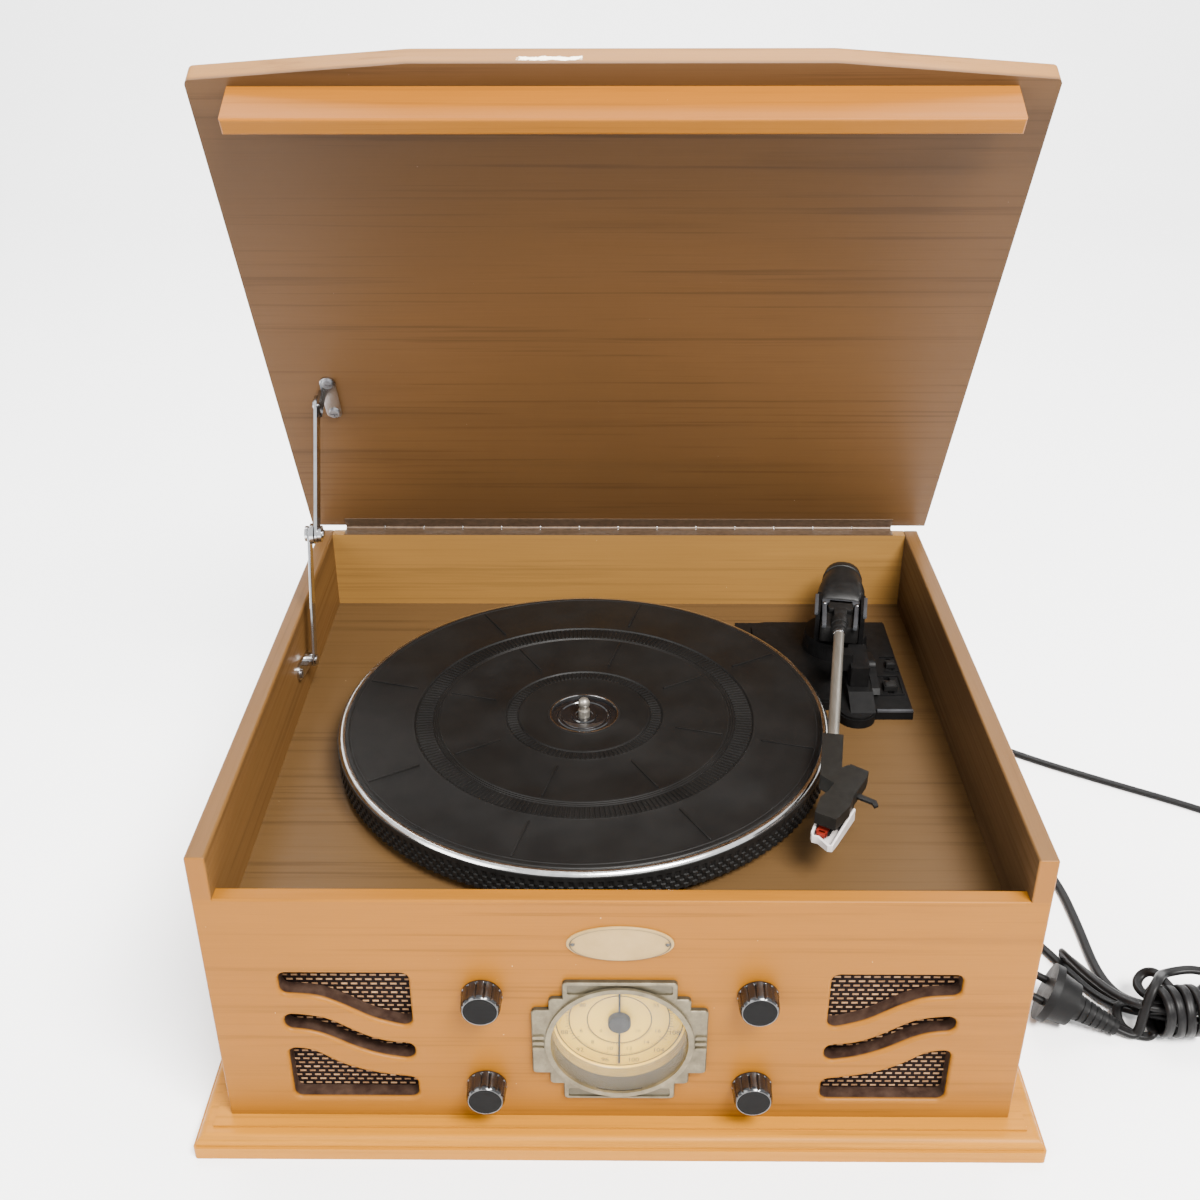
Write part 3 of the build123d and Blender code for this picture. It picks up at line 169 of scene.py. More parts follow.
def wood(name, axis, base, dark, light, streak=0.5, rough=(0.38, 0.52), seed=0.0, grime=0.0, extra=None):
    m = Mat(name)
    k = {"x": (1.0, 17, 17), "y": (17, 1.0, 17)}[axis]
    big = m.noise(m.coords(tuple(c * 0.9 for c in k), loc=(seed, seed, seed)), 2.6, 5, 0.62)
    mid = m.noise(m.coords(tuple(c * (1.1 if c == 1 else 5.0) for c in k), loc=(seed * 2, 1, seed)), 3.2, 4, 0.6)
    fine = m.noise(m.coords(tuple(c * (5 if c == 1 else 30) for c in k)), 3.5, 3, 0.6)
    col = m.ramp(big, [(0.26, dark), (0.44, base), (0.62, base), (0.80, light)])
    thin = m.ramp(mid, [(0.0, (0, 0, 0, 1)), (0.55, (0, 0, 0, 1)), (0.66, (streak, streak, streak, 1)), (0.76, (0, 0, 0, 1))])
    col = m.mix(thin, col, tuple(c * 0.55 for c in dark[:3]) + (1,))
    hv = m.n("HueSaturation")
    m.link(col, hv.inputs["Color"])
    m.link(m.span(fine, 0.25, 0.75, 0.92, 1.07), hv.inputs["Value"])
    col = hv.outputs[0]
    cloud = m.noise(m.coords((1, 1, 1), loc=(seed, 3, 1)), 5.5, 3, 0.5)
    col = m.mix(m.span(cloud, 0.35, 0.75, 0.0, 0.30 + grime), col, tuple(c * 0.74 for c in base[:3]) + (1,))
    pale = m.noise(m.coords((1, 1, 1), loc=(seed, 0, 2)), 420, 2, 0.5)
    col = m.mix(m.ramp(pale, [(0.0, (0, 0, 0, 1)), (0.80, (0, 0, 0, 1)), (0.83, (0.55, 0.55, 0.55, 1))]), col, lin(226, 196, 150))
    if extra:
        col = extra(m, col)
    m.link(col, m.b.inputs["Base Color"])
    m.link(m.span(mid, 0.3, 0.7, rough[0], rough[1]), m.b.inputs["Roughness"])
    m.set(Specular_IOR_Level=0.12)
    m.bump(m.math("ADD", fine, m.math("MULTIPLY", mid, 0.6)), 0.08, 0.0002)
    return m.m


def throat(m, col):
    """the cut walls of the openings are stained dark below the rounded lip."""
    x, y, z = m.xyz()
    f = m.span(y, -0.1805, -0.1795, 0.0, 1.0)
    g = m.math("MULTIPLY", m.math("LESS_THAN", z, 0.150), m.math("LESS_THAN", m.math("ABSOLUTE", x), 0.205))
    dirt = m.ramp(m.noise(m.coords(), 160, 4), [(0.35, lin(34, 22, 17)), (0.7, lin(54, 40, 32))])
    return m.mix(m.math("MULTIPLY", f, g), col, dirt)


LN = (0.0, math.sin(math.radians(63.3)), math.cos(math.radians(63.3)))
LD = 0.1842 * LN[1] + 0.1967 * LN[2]


def lid_faces(m, col):
    """painted shade darkens the inner face against the edge and the outside, a painted shadow of the bar darkens it
    further towards the top, and one knocked spot on the front edge where the pale board shows also carries a painted
    highlight.
    """
    x, y, z = m.xyz()
    d = m.math("ADD", m.math("MULTIPLY", y, LN[1]), m.math("MULTIPLY", z, LN[2]))
    # painted shade: mask of the lid's inner face
    inner_face_shade = m.span(d, LD - 0.0000, LD + 0.0035, 1.0, 0.0)
    col = m.mix(inner_face_shade, col, m.mix(1.0, col, (0.30, 0.335, 0.62, 1), "MULTIPLY"))
    # painted shadow of the bar, darkest just below the top
    shade = m.ramp(m.span(z, 0.20, 0.53, 0.0, 1.0), [(0.0, (1.0, 1.0, 1.0, 1)), (0.2, (1.0, 1.0, 1.0, 1)), (0.45, (0.84, 0.84, 0.87, 1)), (0.93, (0.40, 0.41, 0.46, 1)), (0.98, (0.7, 0.7, 0.7, 1))])
    col = m.mix(inner_face_shade, col, m.mix(1.0, col, shade, "MULTIPLY"))
    # pale spot on the front edge: worn pale board together with a painted highlight
    wob = m.noise(m.coords((1, 1, 1)), 330, 4)
    fx = m.math("SUBTRACT", m.math("ABSOLUTE", m.math("SUBTRACT", x, -0.0355)), 0.0150)
    fd = m.math("SUBTRACT", m.math("ABSOLUTE", m.math("SUBTRACT", d, LD + 0.0048)), 0.0013)
    v = m.math("SUBTRACT", 0.5340, z)
    f = m.math("MAXIMUM", m.math("MAXIMUM", m.math("MULTIPLY", fx, 0.35), fd), v)
    f = m.math("ADD", f, m.span(wob, 0, 1, -0.0020, 0.0020))
    return m.mix(m.span(f, 0.0003, -0.0003, 0.0, 1.0), col, lin(246, 236, 214))


def tone(r, g, b, k=1.0):
    return (r * k, g * k, b * k, 1)


def trio(r, g, b):
    return tone(r, g, b), tone(r, g, b, 0.76), tone(r, g, b, 1.16)


def bar_faces(m, col):
    """painted shade on the face that lies under the open lid; the face that catches the light keeps the plain colour.
    """
    x, y, z = m.xyz()
    d = m.math("ADD", m.math("MULTIPLY", y, LN[1]), m.math("MULTIPLY", z, LN[2]))
    # painted shade: mask of the bar face under the open lid
    f = m.span(d, LD - BAR_H + 0.0002, LD - BAR_H + 0.0010, 1.0, 0.0)
    return m.mix(f, col, m.mix(1.0, col, (0.52, 0.72, 1.0, 1), "MULTIPLY"))


def side_faces(m, col):
    """inner faces of the well are duller and the right inner face also carries painted shade, the front ends match the
    front board and the outer faces are fresher.
    """
    x, y, z = m.xyz()
    ax = m.math("ABSOLUTE", x)
    fresh = m.span(ax, 0.2138, 0.2149, 0.0, 1.0)
    col = m.mix(fresh, col, m.mix(1.0, col, (1.75, 1.5, 0.9, 1), "MULTIPLY"))
    # painted shade on the right side's inner face
    right = m.span(x, 0.2046, 0.2056, 1.0, 0.0)
    right = m.math("MULTIPLY", right, m.math("GREATER_THAN", x, 0.0))
    col = m.mix(right, col, m.mix(1.0, col, (0.56, 0.62, 0.9, 1), "MULTIPLY"))
    end = m.span(y, -0.1812, -0.1818, 0.0, 1.0)
    return m.mix(end, col, (0.155, 0.058, 0.006, 1))


BAR_H = 0.0265
WOOD = wood("honey_wood", "x", *trio(0.173, 0.086, 0.021), 0.35)
WOOD_BAR = wood("honey_wood_bar", "x", *trio(0.200, 0.066, 0.003), 0.3, seed=1.2, extra=bar_faces)
WOOD_FRONT = wood("honey_wood_front", "x", *trio(0.187, 0.068, 0.0035), 0.4, seed=2.3, extra=throat)
WOOD_SIDE = wood("honey_wood_side", "y", *trio(0.098, 0.046, 0.013), 0.45, seed=4.1, extra=side_faces)
WOOD_LID = wood("honey_wood_lid", "x", *trio(0.20, 0.088, 0.019), 0.6, grime=0.15, seed=7.7, extra=lid_faces)
WOOD_DECK = wood("honey_wood_deck", "x", *trio(0.064, 0.034, 0.012), 0.5, grime=0.1, seed=9.2)
WOOD_BASE = wood("honey_wood_base", "x", *trio(0.300, 0.115, 0.004), 0.4, seed=5.5)
BLACK = plain("black_plastic", tone(0.0035, 0.0033, 0.0032), tone(0.007, 0.0066, 0.0063), (0.38, 0.55), scale=300, bump=0.18, bscale=2200, spec=0.2)
BLACK_SOFT = plain("black_grained_plastic", tone(0.0018, 0.0017, 0.0017), tone(0.0036, 0.0034, 0.0034), (0.45, 0.6), scale=260, bump=0.3, bscale=2600, spec=0.12)
GREY = plain("grey_plastic", tone(0.0055, 0.0050, 0.0043), tone(0.0088, 0.0080, 0.0068), (0.4, 0.55), scale=220, bump=0.15, bscale=1800, spec=0.12)
GREY_LIGHT = plain("light_grey_plastic", tone(0.020, 0.0205, 0.023), tone(0.032, 0.033, 0.036), (0.35, 0.5), scale=200, bump=0.12, bscale=1500, spec=0.3)
GLOSS = plain("gloss_black", tone(0.0025, 0.0025, 0.0028), tone(0.005, 0.005, 0.0055), (0.12, 0.22), scale=200, bump=0.03, coat=0.5)
KNOB_FACE = plain("knob_face_grey", tone(0.0010, 0.0009, 0.0009), tone(0.0020, 0.0018, 0.0018), (0.44, 0.56), metal=0.0, scale=240, stretch=(1, 1, 6), bump=0.06, spec=0.07)
CHROME = plain("chrome", tone(0.42, 0.42, 0.43), tone(0.56, 0.56, 0.57), (0.08, 0.2), metal=1.0, scale=70, bump=0.02)
NICKEL = plain("brushed_tube", tone(0.155, 0.14, 0.118), tone(0.235, 0.216, 0.186), (0.3, 0.42), metal=0.75, scale=240, stretch=(1, 0.12, 1), bump=0.05)
SILVER = plain("turned_aluminium", tone(0.50, 0.50, 0.49), tone(0.68, 0.675, 0.66), (0.14, 0.26), metal=1.0, scale=160, bump=0.03)
BRONZE = plain("dark_hinge_brass", tone(0.050, 0.030, 0.017), tone(0.088, 0.054, 0.031), (0.35, 0.5), metal=0.35, scale=300, bump=0.1)
STEEL = plain("steel", tone(0.20, 0.20, 0.21), tone(0.33, 0.33, 0.34), (0.25, 0.4), metal=1.0, scale=260, bump=0.05)
CREAM = plain("cream_enamel", lin(228, 200, 138), lin(236, 210, 152), (0.35, 0.45), scale=60, bump=0.03)
BADGE = plain("badge_cream", tone(0.235, 0.148, 0.050), tone(0.285, 0.185, 0.068), (0.3, 0.42), scale=90, bump=0.05, spec=0.25)
PRINT = plain("print_dark", tone(0.02, 0.018, 0.014), tone(0.035, 0.03, 0.023), (0.5, 0.6), scale=300, bump=0.0)
PRINT_TAN = plain("print_tan", tone(0.012, 0.0075, 0.003), tone(0.020, 0.012, 0.005), (0.5, 0.6), scale=300, bump=0.0)
WHITE_P = plain("white_plastic", tone(0.36, 0.325, 0.31), tone(0.46, 0.42, 0.40), (0.25, 0.4), scale=120, bump=0.05, coat=0.2, spec=0.35)
RED_P = plain("red_plastic", tone(0.085, 0.007, 0.004), tone(0.12, 0.010, 0.005), (0.2, 0.35), scale=160, bump=0.04, spec=0.3)
CORD = plain("cord_black", tone(0.0022, 0.0020, 0.0021), tone(0.0048, 0.0044, 0.0044), (0.35, 0.5), scale=420, bump=0.12, bscale=1800, spec=0.13)
PCB = plain("board_tan", tone(0.045, 0.03, 0.008), tone(0.07, 0.045, 0.014), (0.4, 0.6), scale=90)
FIBRE = plain("fibreboard", tone(0.10, 0.055, 0.02), tone(0.14, 0.08, 0.03), (0.6, 0.8), scale=420, bump=0.3, bscale=1500)


def pewter():
    m = Mat("antique_pewter")
    v = m.coords()
    col = m.ramp(m.noise(v, 110, 6, 0.65), [(0.25, tone(0.070, 0.056, 0.033)), (0.5, tone(0.125, 0.102, 0.062)), (0.75, tone(0.19, 0.158, 0.102))])
    y = m.xyz()[1]
    deep = m.span(y, -0.1852, -0.1838, 0.0, 0.75)
    col = m.mix(deep, col, tone(0.03, 0.026, 0.016))
    m.link(col, m.b.inputs["Base Color"])
    m.link(m.span(m.noise(v, 260, 4), 0.3, 0.7, 0.28, 0.5), m.b.inputs["Roughness"])
    m.set(Metallic=0.6)
    m.bump(m.noise(v, 700, 5, 0.7), 0.35, 0.0003)
    return m.m


PEWTER = pewter()


def cloth():
    m = Mat("grille_cloth")
    mp = m.n("Mapping")
    mp.inputs["Rotation"].default_value = (pi / 2, 0, 0)
    m.link(m.tc.outputs["Object"], mp.inputs["Vector"])
    br = m.n("TexBrick")
    br.offset = 0.5
    br.inputs["Color1"].default_value = tone(0.34, 0.19, 0.095)
    br.inputs["Color2"].default_value = tone(0.17, 0.085, 0.04)
    br.inputs["Mortar"].default_value = tone(0.0042, 0.0015, 0.0010)
    br.inputs["Scale"].default_value = 1.0
    br.inputs["Mortar Size"].default_value = 0.00106
    br.inputs["Mortar Smooth"].default_value = 0.25
    br.inputs["Brick Width"].default_value = 0.0052
    br.inputs["Row Height"].default_value = 0.0031
    m.link(mp.outputs[0], br.inputs["Vector"])
    v = m.coords()
    col = m.mix(m.span(m.noise(v, 900, 3), 0.35, 0.7, 0.0, 0.25), br.outputs["Color"], tone(0.012, 0.006, 0.004))
    m.link(col, m.b.inputs["Base Color"])
    m.link(m.span(m.noise(v, 700, 2), 0.3, 0.7, 0.75, 0.95), m.b.inputs["Roughness"])
    m.set(Specular_IOR_Level=0.1)
    h = m.math("SUBTRACT", 1.0, br.outputs["Fac"])
    m.bump(h, 0.8, 0.0006)
    return m.m


CLOTH = cloth()


def glass():
    m = Mat("clear_lens")
    m.set(Base_Color=(1, 1, 1, 1), Roughness=0.03, IOR=1.45, Alpha=0.02, Specular_IOR_Level=0.2, Coat_Weight=0.1, Coat_Roughness=0.03)
    m.bump(m.noise(m.coords(), 60, 2), 0.02, 0.0002)
    return m.m


GLASS = glass()


def dial_cup():
    m = Mat("dial_cup")
    x, y, z = m.xyz()
    v = m.coords()
    cream = m.ramp(m.noise(v, 60, 4), [(0.3, tone(0.56, 0.325, 0.006)), (0.7, tone(0.64, 0.39, 0.010))])
    # painted shade: the cup's inner wall is coloured darker than the cream face
    wall = m.ramp(m.noise(v, 200, 4), [(0.3, tone(0.15, 0.095, 0.016)), (0.7, tone(0.21, 0.135, 0.024))])
    m.link(m.mix(m.math("GREATER_THAN", y, -0.1692), wall, cream), m.b.inputs["Base Color"])
    m.link(m.span(m.noise(v, 90, 3), 0.3, 0.7, 0.35, 0.5), m.b.inputs["Roughness"])
    m.bump(m.noise(v, 900, 3), 0.05, 0.0002)
    return m.m


CUP = dial_cup()


def mat_rubber():
    m = Mat("platter_rubber")
    v = m.coords()
    col = m.ramp(m.noise(v, 40, 6, 0.6), [(0.3, tone(0.0028, 0.0025, 0.0023)), (0.7, tone(0.0052, 0.0046, 0.0041))])
    dust = m.ramp(m.noise(v, 1500, 2, 0.6), [(0.70, (0, 0, 0, 1)), (0.78, (0.5, 0.5, 0.5, 1))])
    col = m.mix(dust, col, tone(0.03, 0.028, 0.026))
    m.link(col, m.b.inputs["Base Color"])
    m.link(m.span(m.noise(v, 30, 3), 0.3, 0.7, 0.42, 0.6), m.b.inputs["Roughness"])
    m.set(Specular_IOR_Level=0.17)
    m.bump(m.noise(v, 1400, 4), 0.22, 0.0002)
    return m.m


RUBBER = mat_rubber()


# ------------------------------------------------------------------ mesh helpers (all coordinates in mm)
def obj_from(bm, name, material, body, smooth=40):
    me = bpy.data.meshes.new(name)
    bmesh.ops.recalc_face_normals(bm, faces=bm.faces)
    bmesh.ops.scale(bm, vec=(mm, mm, mm), verts=bm.verts)
    bm.to_mesh(me)
    bm.free()
    o = bpy.data.objects.new(name, me)
    bpy.context.collection.objects.link(o)
    me.materials.append(material)
    for p in me.polygons:
        p.use_smooth = smooth > 0
    if smooth > 0:
        me.set_sharp_from_angle(angle=math.radians(smooth))
    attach(o, body)
    return o


def lathe_into(bm, prof, centre=(0, 0, 0), axis="z", seg=96, close=False):
    """prof is (radius, height) along the axis; a profile that starts and ends on other radii is open."""
    rings = []
    for r, h in prof:
        ring = []
        if r < 1e-6:
            p = (0, 0, h) if axis == "z" else (0, -h, 0)
            ring = [bm.verts.new((p[0] + centre[0], p[1] + centre[1], p[2] + centre[2]))]
        else:
            for i in range(seg):
                a = 2 * pi * i / seg
                p = (r * math.cos(a), r * math.sin(a), h) if axis == "z" else (r * math.cos(a), -h, r * math.sin(a))
                ring.append(bm.verts.new((p[0] + centre[0], p[1] + centre[1], p[2] + centre[2])))
        rings.append(ring)
    pairs = list(zip(rings[:-1], rings[1:]))
    if close:
        pairs.append((rings[-1], rings[0]))
    for a, b in pairs:
        for i in range(seg):
            j = (i + 1) % seg
            if len(a) == 1 and len(b) == 1:
                break
            if len(a) == 1:
                bm.faces.new((a[0], b[i], b[j]))
            elif len(b) == 1:
                bm.faces.new((a[i], a[j], b[0]))
            else:
                bm.faces.new((a[i], a[j], b[j], b[i]))
    return rings


def lathe(name, prof, centre, material, body, axis="z", seg=96, close=False, smooth=35):
    bm = bmesh.new()
    lathe_into(bm, prof, centre, axis, seg, close)
    return obj_from(bm, name, material, body, smooth)


def prism_into(bm, pts, m, depth, z0=0.0, bevel=0.0, seg=2):
    """polygon pts in the local xy of matrix m, from local z0 to z0+depth, with rounded edges."""
    b2 = bmesh.new()
    lo = [b2.verts.new((x, y, z0)) for x, y in pts]
    hi = [b2.verts.new((x, y, z0 + depth)) for x, y in pts]
    n = len(pts)
    b2.faces.new(lo[::-1])
    b2.faces.new(hi)
    for i in range(n):
        j = (i + 1) % n
        b2.faces.new((lo[i], lo[j], hi[j], hi[i]))
    bmesh.ops.recalc_face_normals(b2, faces=b2.faces)
    if bevel > 0:
        es = [e for e in b2.edges if e.calc_face_angle(0) > math.radians(20)]
        bmesh.ops.bevel(b2, geom=es, offset=bevel, segments=seg, affect="EDGES", profile=0.5)
    bmesh.ops.transform(b2, matrix=m, verts=b2.verts)
    tmp = bpy.data.meshes.new("tmp")
    b2.to_mesh(tmp)
    b2.free()
    bm.from_mesh(tmp)
    bpy.data.meshes.remove(tmp)


def prism(name, pts, m, depth, material, body, z0=0.0, bevel=0.4, seg=2, smooth=35, slot=None):
    bm = bmesh.new()
    prism_into(bm, pts, m, depth, z0, bevel, seg)
    return obj_from(bm, name, material, body, smooth)


def basis(origin, x, y, z):
    m = Matrix.Identity(4)
    for i in range(3):
        m[i][0], m[i][1], m[i][2], m[i][3] = x[i], y[i], z[i], origin[i]
    return m


def rect(x0, x1, y0, y1):
    return [(x0, y0), (x1, y0), (x1, y1), (x0, y1)]


def rrect(w, h, r, n=5, cx=0, cy=0):
    out = []
    for qx, qy, a0 in ((1, 1, 0), (-1, 1, 90), (-1, -1, 180), (1, -1, 270)):
        for i in range(n + 1):
            a = math.radians(a0 + 90 * i / n)
            out.append((cx + qx * (w / 2 - r) + r * math.cos(a), cy + qy * (h / 2 - r) + r * math.sin(a)))
    return out


def circ(r, n=32, cx=0, cy=0):
    return [(cx + r * math.cos(2 * pi * i / n), cy + r * math.sin(2 * pi * i / n)) for i in range(n)]


XY = Matrix.Identity(4)
FRONT = basis((0, FY, 0), (1, 0, 0), (0, 0, 1), (0, -1, 0))      # local z towards the viewer in front
BACK = basis((0, BY, 0), (-1, 0, 0), (0, 0, 1), (0, 1, 0))


def arm_m(z=0.0):
    return basis((ARMX, ARMY, z), AX, AY, (0, 0, 1))


def paint(name, material):
    o = nodes[name]
    if not o.material_slots:
        o.data.materials.append(material)
    for s in o.material_slots:
        s.link = "OBJECT"
        s.material = material


for n, m in {
    "base_board": WOOD_BASE, "left_side": WOOD_SIDE, "right_side": WOOD_SIDE, "front_panel": WOOD_FRONT, "back_panel": WOOD,
    "deck_board": WOOD_DECK, "lid_panel": WOOD_LID, "lid_front_bar": WOOD_BAR, "hinge_cabinet_leaf": BRONZE, "hinge_lid_leaf": BRONZE, "hinge_pin": STEEL,
    "stay_wall_bracket": CHROME, "stay_lid_bracket": CHROME, "stay_lower_arm": CHROME, "stay_upper_arm": CHROME, "stay_lid_screws": STEEL, "stay_wall_screws": STEEL,
    "dial_bezel": PEWTER, "dial_plate": CUP, "dial_pointer": GREY, "dial_lens": GLASS, "name_badge": BADGE, "speaker_cloths": CLOTH, "speakers": BLACK,
    "rotary_controls": STEEL, "amplifier_board": PCB, "mains_transformer": STEEL, "spindle": NICKEL, "spindle_bearing": STEEL, "drive_motor": STEEL,
    "drive_belt": RUBBER, "motor_pulley": SILVER, "platter": BLACK, "platter_mat": RUBBER, "tonearm_base_plate": BLACK_SOFT, "tonearm_turret": BLACK_SOFT,
    "arm_rest": BLACK_SOFT, "tonearm_yoke": BLACK_SOFT, "tonearm_counterweight": BLACK, "tonearm_tube": NICKEL, "headshell": GREY, "cartridge": BLACK,
    "stylus": RED_P, "stylus_guard": WHITE_P, "finger_lift": BLACK, "cue_lever": BLACK_SOFT, "speed_lever": BLACK, "auto_stop_lever": BLACK,
    "volume_knob": GLOSS, "tone_knob": GLOSS, "tuning_knob": GLOSS, "band_knob": GLOSS, "volume_shaft": STEEL, "tone_shaft": STEEL, "tuning_shaft": STEEL,
    "band_shaft": STEEL, "cord_gland": CORD, "mains_cord": CORD, "cord_hank": CORD, "mains_plug": BLACK_SOFT,
}.items():
    paint(n, m)

# ------------------------------------------------------------------ camera
C = Vector((-4.8, -709.77, 635.56)) * mm
p_, y_, r_ = math.radians(-29.13), math.radians(0.54), math.radians(0.15)
R = Matrix.Rotation(y_, 3, "Z") @ Matrix.Rotation(p_, 3, "X") @ Matrix.Rotation(r_, 3, "Y")
cam = bpy.data.cameras.new("camera")
cam.sensor_fit = "HORIZONTAL"
cam.sensor_width = 36
cam.lens = 36 * 1379.74 / 1200
cam.clip_start, cam.clip_end = 0.01, 50
co = bpy.data.objects.new("camera", cam)
bpy.context.collection.objects.link(co)
right, fwd, up = R.col[0], R.col[1], R.col[2]
M = Matrix.Identity(4)
for i in range(3):
    M[i][0], M[i][1], M[i][2], M[i][3] = right[i], up[i], -fwd[i], C[i]
co.matrix_world = M
bpy.context.scene.camera = co

# ------------------------------------------------------------------ mains cord: one flat twin lead from the gland to the plug
zf = 2.05
ROUTE = [(120, 212, 27), (120, 231, 27), (122.5, 251, 17), (134, 268, 6.5), (156, 277, zf), (190, 275, zf), (228, 253, zf), (272, 212, zf), (318, 176, zf),
         (372, 144, zf), (430, 112, zf), (468, 84, zf), (489, 44, zf), (484, -1, zf), (458, -38, zf), (430, -59, zf), (408, -72, 3.4), (388, -82, 7.4)]
ROUTE += [(372, -90, 10), (356, -97, 11), (342, -101, 11.6)]
ROUTE += [(325, -97, 13), (314.5, -89.5, 9), (307.5, -76, 4.2), (303.5, -53, zf), (304.5, -12, zf), (303, 30, zf), (292, 65, zf), (266, 82, zf), (245, 64, zf), (242, 28, zf),
          (256, -6, zf), (274, -32, zf), (285.5, -56, zf), (295.5, -78, 3.0), (308, -92.5, 6.5), (323, -101, 10.5)]
ROUTE += [(337, -106.5, 11.2), (351, -108, 11), (368, -110, 9), (383, -105, 7.5), (391, -95, 7.5), (386, -83, 9), (371, -81, 12), (356, -90, 15), (342, -103, 16.5), (329, -104, 16.5)]
ROUTE += [(317, -99, 11.5), (306, -83, 5), (296, -64.5, 2.4), (288.5, -50, 2.6), (282.5, -45.5, 8.5), (283, -55, 14.5), (291, -72, 15.2), (301, -90, 16.5), (312, -103, 20), (326, -107, 21.3)]
ROUTE += [(340, -107.3, 21.3), (354, -106, 21), (370, -101, 20), (385, -92, 17), (389, -82, 14), (379, -74, 13), (364, -79, 15), (351, -91, 17), (339, -98.8, 16.8), (329, -98, 17.5)]
ROUTE += [(321, -94, 17.5), (317.5, -86.5, 17), (318.5, -80, 17.5), (323.5, -76, 20.5), (328.5, -79, 24), (331, -87, 25), (335, -97, 24)]
ROUTE += [(346, -102, 22), (360, -106, 22), (375, -113, 18), (386, -118, 11), (379, -120, 5), (363, -113, 4), (349, -104, 7), (335, -101, 8.6), (320, -95, 8.6), (309, -89, 8.6),
          (303.5, -93, 6.2), (303.5, -102, 2.8), (309, -108.5, zf), (318, -111, zf)]
WC, WR = (-104.3, 17.0), 13.9
turns, a0 = 4.1, -30
for i in range(int(turns * 12) + 1):
    a = math.radians(a0 + 30 * i)
    k = i / (turns * 12)
    wob = 0.5 * math.sin(i * 1.7)
    ROUTE.append((321.0 + 26.0 * k + 0.5 * math.sin(i * 0.9), WC[0] + (WR + wob) * math.sin(a), max(zf + 0.2, WC[1] - (WR + wob) * math.cos(a))))
ROUTE += [(351, -113, 27), (364, -113, 22), (380, -107, 19), (389, -97, 19), (385, -85, 21), (369, -83, 24), (357, -82, 27), (349.5, -80, 27), (341, -80, 25.5), (333.5, -82, 25.5), (328.5, -87, 28.5),
          (324.5, -93.5, 31.5), (319.5, -99.5, 30.5), (316, -104, 24), (314, -107, 14), (312, -110, 4.5), (307.76, -110.22, 2.85), (299.8, -107.0, 5.5)]
cu = bpy.data.curves.new("cord_route", "CURVE")
cu.dimensions = "3D"
sp = cu.splines.new("NURBS")
sp.points.add(len(ROUTE) - 1)
for q, p in zip(sp.points, ROUTE):
    q.co = (p[0] * mm, p[1] * mm, p[2] * mm, 1)
sp.order_u = 3
sp.use_endpoint_u = True
cu.resolution_u = 8
tmp = bpy.data.objects.new("cord_route", cu)
bpy.context.collection.objects.link(tmp)
bpy.context.view_layer.update()
lm = bpy.data.meshes.new_from_object(tmp)
path = [v.co.copy() for v in lm.vertices]
bpy.data.objects.remove(tmp)
bpy.data.meshes.remove(lm)
path = [path[0]] + [b for a, b in zip(path[:-1], path[1:]) if (b - a).length > 1e-5]


def twin_profile(w, h, n=9):
    """two round conductors side by side with a groove between them, w wide and h high."""
    r = h / 2
    c = w / 2 - r
    pts = []
    for i in range(n):
        a = -pi / 2 - 0.35 + 0.35 * 2 * 0 + (pi + 0.7) * i / (n - 1)
        pts.append((c + r * math.cos(a), r * math.sin(a)))
    pts += [(-x, -y) for x, y in pts]
    return pts


def sweep_flat(name, path, prof, material, body):
    bm = bmesh.new()
    n = len(path)
    side = None
    prev = None
    for i, p in enumerate(path):
        t = (path[min(i + 1, n - 1)] - path[max(i - 1, 0)]).normalized()
        flat = t.cross(Vector((0, 0, 1)))
        if side is None:
            side = flat.normalized() if flat.length > 0.1 else Vector((1, 0, 0))
        side = (side - t * side.dot(t)).normalized()
        if flat.length > 0.25:
            want = flat.normalized()
            if want.dot(side) < 0:
                want = -want
            side = (side * 0.86 + want * 0.14 * flat.length).normalized()
            side = (side - t * side.dot(t)).normalized()
        upv = side.cross(t)
        ring = [bm.verts.new((p + side * (x * mm) + upv * (y * mm)) / mm) for x, y in prof]
        if prev:
            for a in range(len(ring)):
                b = (a + 1) % len(ring)
                bm.faces.new((prev[a], prev[b], ring[b], ring[a]))
        else:
            bm.faces.new(ring[::-1])
        prev = ring
    bm.faces.new(prev)
    return obj_from(bm, name, material, body, 60)


cord = sweep_flat("mains_lead", path, twin_profile(6.0, 3.8), CORD, "cabinet")
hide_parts("mains_cord", "cord_hank")
thin = [path[0]]
for q in path[1:]:
    if (q - thin[-1]).length > 0.002:
        thin.append(q)

